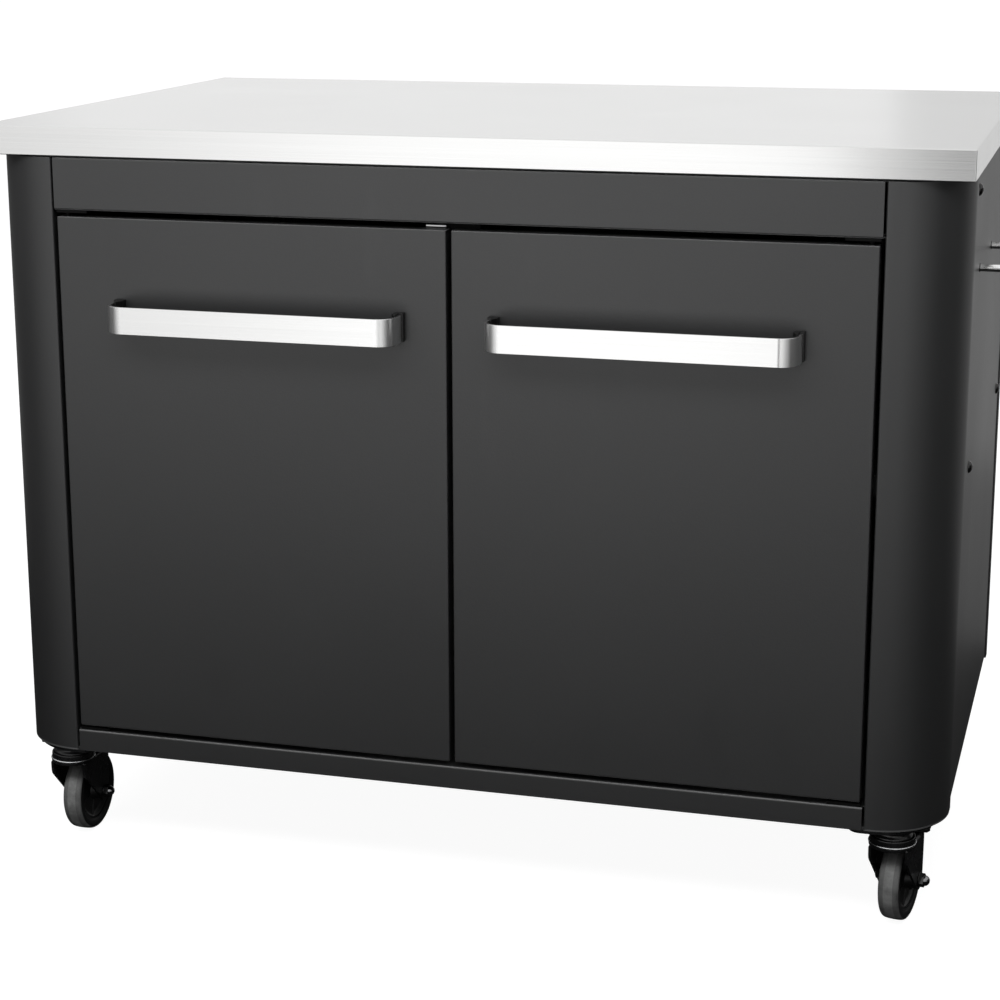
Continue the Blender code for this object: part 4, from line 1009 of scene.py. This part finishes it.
def make_floor():
    """A floor that takes the unit's shadow and is otherwise as white as the background."""
    mat = bpy.data.materials.new("floor")
    mat.use_nodes = True
    tree = mat.node_tree
    bsdf = tree.nodes["Principled BSDF"]
    bsdf.inputs["Base Color"].default_value = (0.24, 0.24, 0.24, 1.0)
    bsdf.inputs["Roughness"].default_value = 0.9
    bsdf.inputs["Specular IOR Level"].default_value = 0.1
    bsdf.inputs["Emission Color"].default_value = (1, 1, 1, 1)
    space = tree.nodes.new("ShaderNodeTexCoord").outputs["Object"]
    reach = tree.nodes.new("ShaderNodeVectorMath")
    reach.operation = "LENGTH"
    tree.links.new(space, reach.inputs[0])
    lift = tree.nodes.new("ShaderNodeMapRange")
    for key, value in (("From Min", 1.1), ("From Max", 2.4), ("To Min", FLOOR_LIFT),
                       ("To Max", 1.0)):
        lift.inputs[key].default_value = value
    tree.links.new(reach.outputs["Value"], lift.inputs["Value"])
    shown = tree.nodes.new("ShaderNodeMath")
    shown.operation = "MULTIPLY"
    tree.links.new(lift.outputs["Result"], shown.inputs[0])
    tree.links.new(seen(tree, 0.0, 1.0), shown.inputs[1])
    tree.links.new(shown.outputs[0], bsdf.inputs["Emission Strength"])
    pane("floor", FLOOR_HALF, FLOOR_HALF, mat)


def make_world():
    world = bpy.data.worlds.new("studio")
    bpy.context.scene.world = world
    world.use_nodes = True
    tree = world.node_tree
    back = tree.nodes["Background"]
    back.inputs["Color"].default_value = (1, 1, 1, 1)
    tree.links.new(seen(tree, AMBIENT, 1.0), back.inputs["Strength"])


def make_cards():
    """Cards round the unit and, low over the floor, where the photograph's reflections are dark."""
    wall = graded("wall", 0.90, [
        (-6.0, 0.70), (-3.2, 0.30), (-2.1, 0.75), (-1.6, 1.0), (0.18, 1.0), (0.25, 0.82),
        (0.75, 0.80), (1.4, 0.46), (2.5, 0.28), (3.3, 1.0), (6.0, 1.0)])
    front = graded("front", 1.32, [
        (-4.2, 0.20), (-2.8, 0.28), (-1.4, 0.32), (-0.7, 0.48), (0.0, 0.90), (0.2, 0.75),
        (0.3, 0.25), (0.433, 0.25), (0.53, 0.62), (0.64, 1.0), (0.855, 1.0), (1.448, 0.99),
        (1.735, 0.87), (2.005, 0.78), (2.22, 0.72), (3.0, 0.48), (3.4, 0.40), (4.2, 0.30)])
    ceiling, shade, dim, low, grey, glint = (emitter(name, level) for name, level in (
        ("ceiling", 1.0), ("shade", 0.012), ("dim", 0.05), ("low", 0.09), ("grey", 0.26),
        ("glint", 0.5)))
    card("back_wall", (0, BACK_Y, 2.0), (12, 4.0), (0, -1, 0), wall, diffuse=True)
    card("front_card", (0.8, FRONT_Y, 0.605), (8.4, 1.09), (0, 1, 0), front)
    card("ceiling", (0, 0, 3.0), (6.6, 4.6), (0, 0, -1), ceiling)
    card("left_card", (LEFT_X, 0.0, 0.65), (4.1, 1.30), (1, 0, 0), low)
    card("right_card", (RIGHT_X, 0.0, 0.73), (4.1, 1.46), (-1, 0, 0), dim)
    for name, mat, x0, x1, y0, y1 in (("shade_front", shade, -1.85, RIGHT_X, FRONT_Y, SPLIT_Y),
                                      ("shade_back", shade, -1.45, 0.57, SPLIT_Y, BACK_Y),
                                      ("low_near", low, LEFT_X, -1.85, FRONT_Y, SPLIT_Y),
                                      ("grey_left", grey, LEFT_X, -1.45, SPLIT_Y, BACK_Y),
                                      ("grey_right", grey, 0.57, RIGHT_X, SPLIT_Y, BACK_Y)):
        card(name, ((x0 + x1) / 2, (y0 + y1) / 2, CARD_LIFT), (x1 - x0, y1 - y0), (0, 0, 1), mat)
    card("glint", (3.28, -0.2, 0.6), (0.6, 0.26), (-1, 0, 0), glint)


def make_camera():
    """The photograph's camera, fitted to points and lines measured in it."""
    yaw, pitch, roll = math.radians(15.977), math.radians(13.765), math.radians(-0.214)
    ahead = Vector((-math.sin(yaw) * math.cos(pitch), math.cos(yaw) * math.cos(pitch),
                    -math.sin(pitch)))
    right = Vector((math.cos(yaw), math.sin(yaw), 0.0))
    up = right.cross(ahead)
    right, up = (math.cos(roll) * right + math.sin(roll) * up,
                 math.cos(roll) * up - math.sin(roll) * right)
    data = bpy.data.cameras.new("camera")
    data.sensor_width = 36.0
    data.lens = 83.55
    data.shift_x, data.shift_y = 0.0148, -0.0334
    cam = bpy.data.objects.new("camera", data)
    bpy.context.scene.collection.objects.link(cam)
    turn = Matrix((right, up, -ahead)).transposed().to_4x4()
    cam.matrix_world = Matrix.Translation(at(0.746015, -2.459423, 1.15498)) @ turn
    bpy.context.scene.camera = cam


make_floor()
make_world()
make_cards()
softbox("key", (-0.20, -1.70, 1.95), (-0.1, -0.38, 0.65), (3.2, 0.6), 42.0)
softbox("top", (0.2, 0.3, 3.2), (0.0, 0.0, 0.9), (3.0, 2.2), 40.0)
make_camera()
view = bpy.context.scene.view_settings
view.view_transform = "Standard"
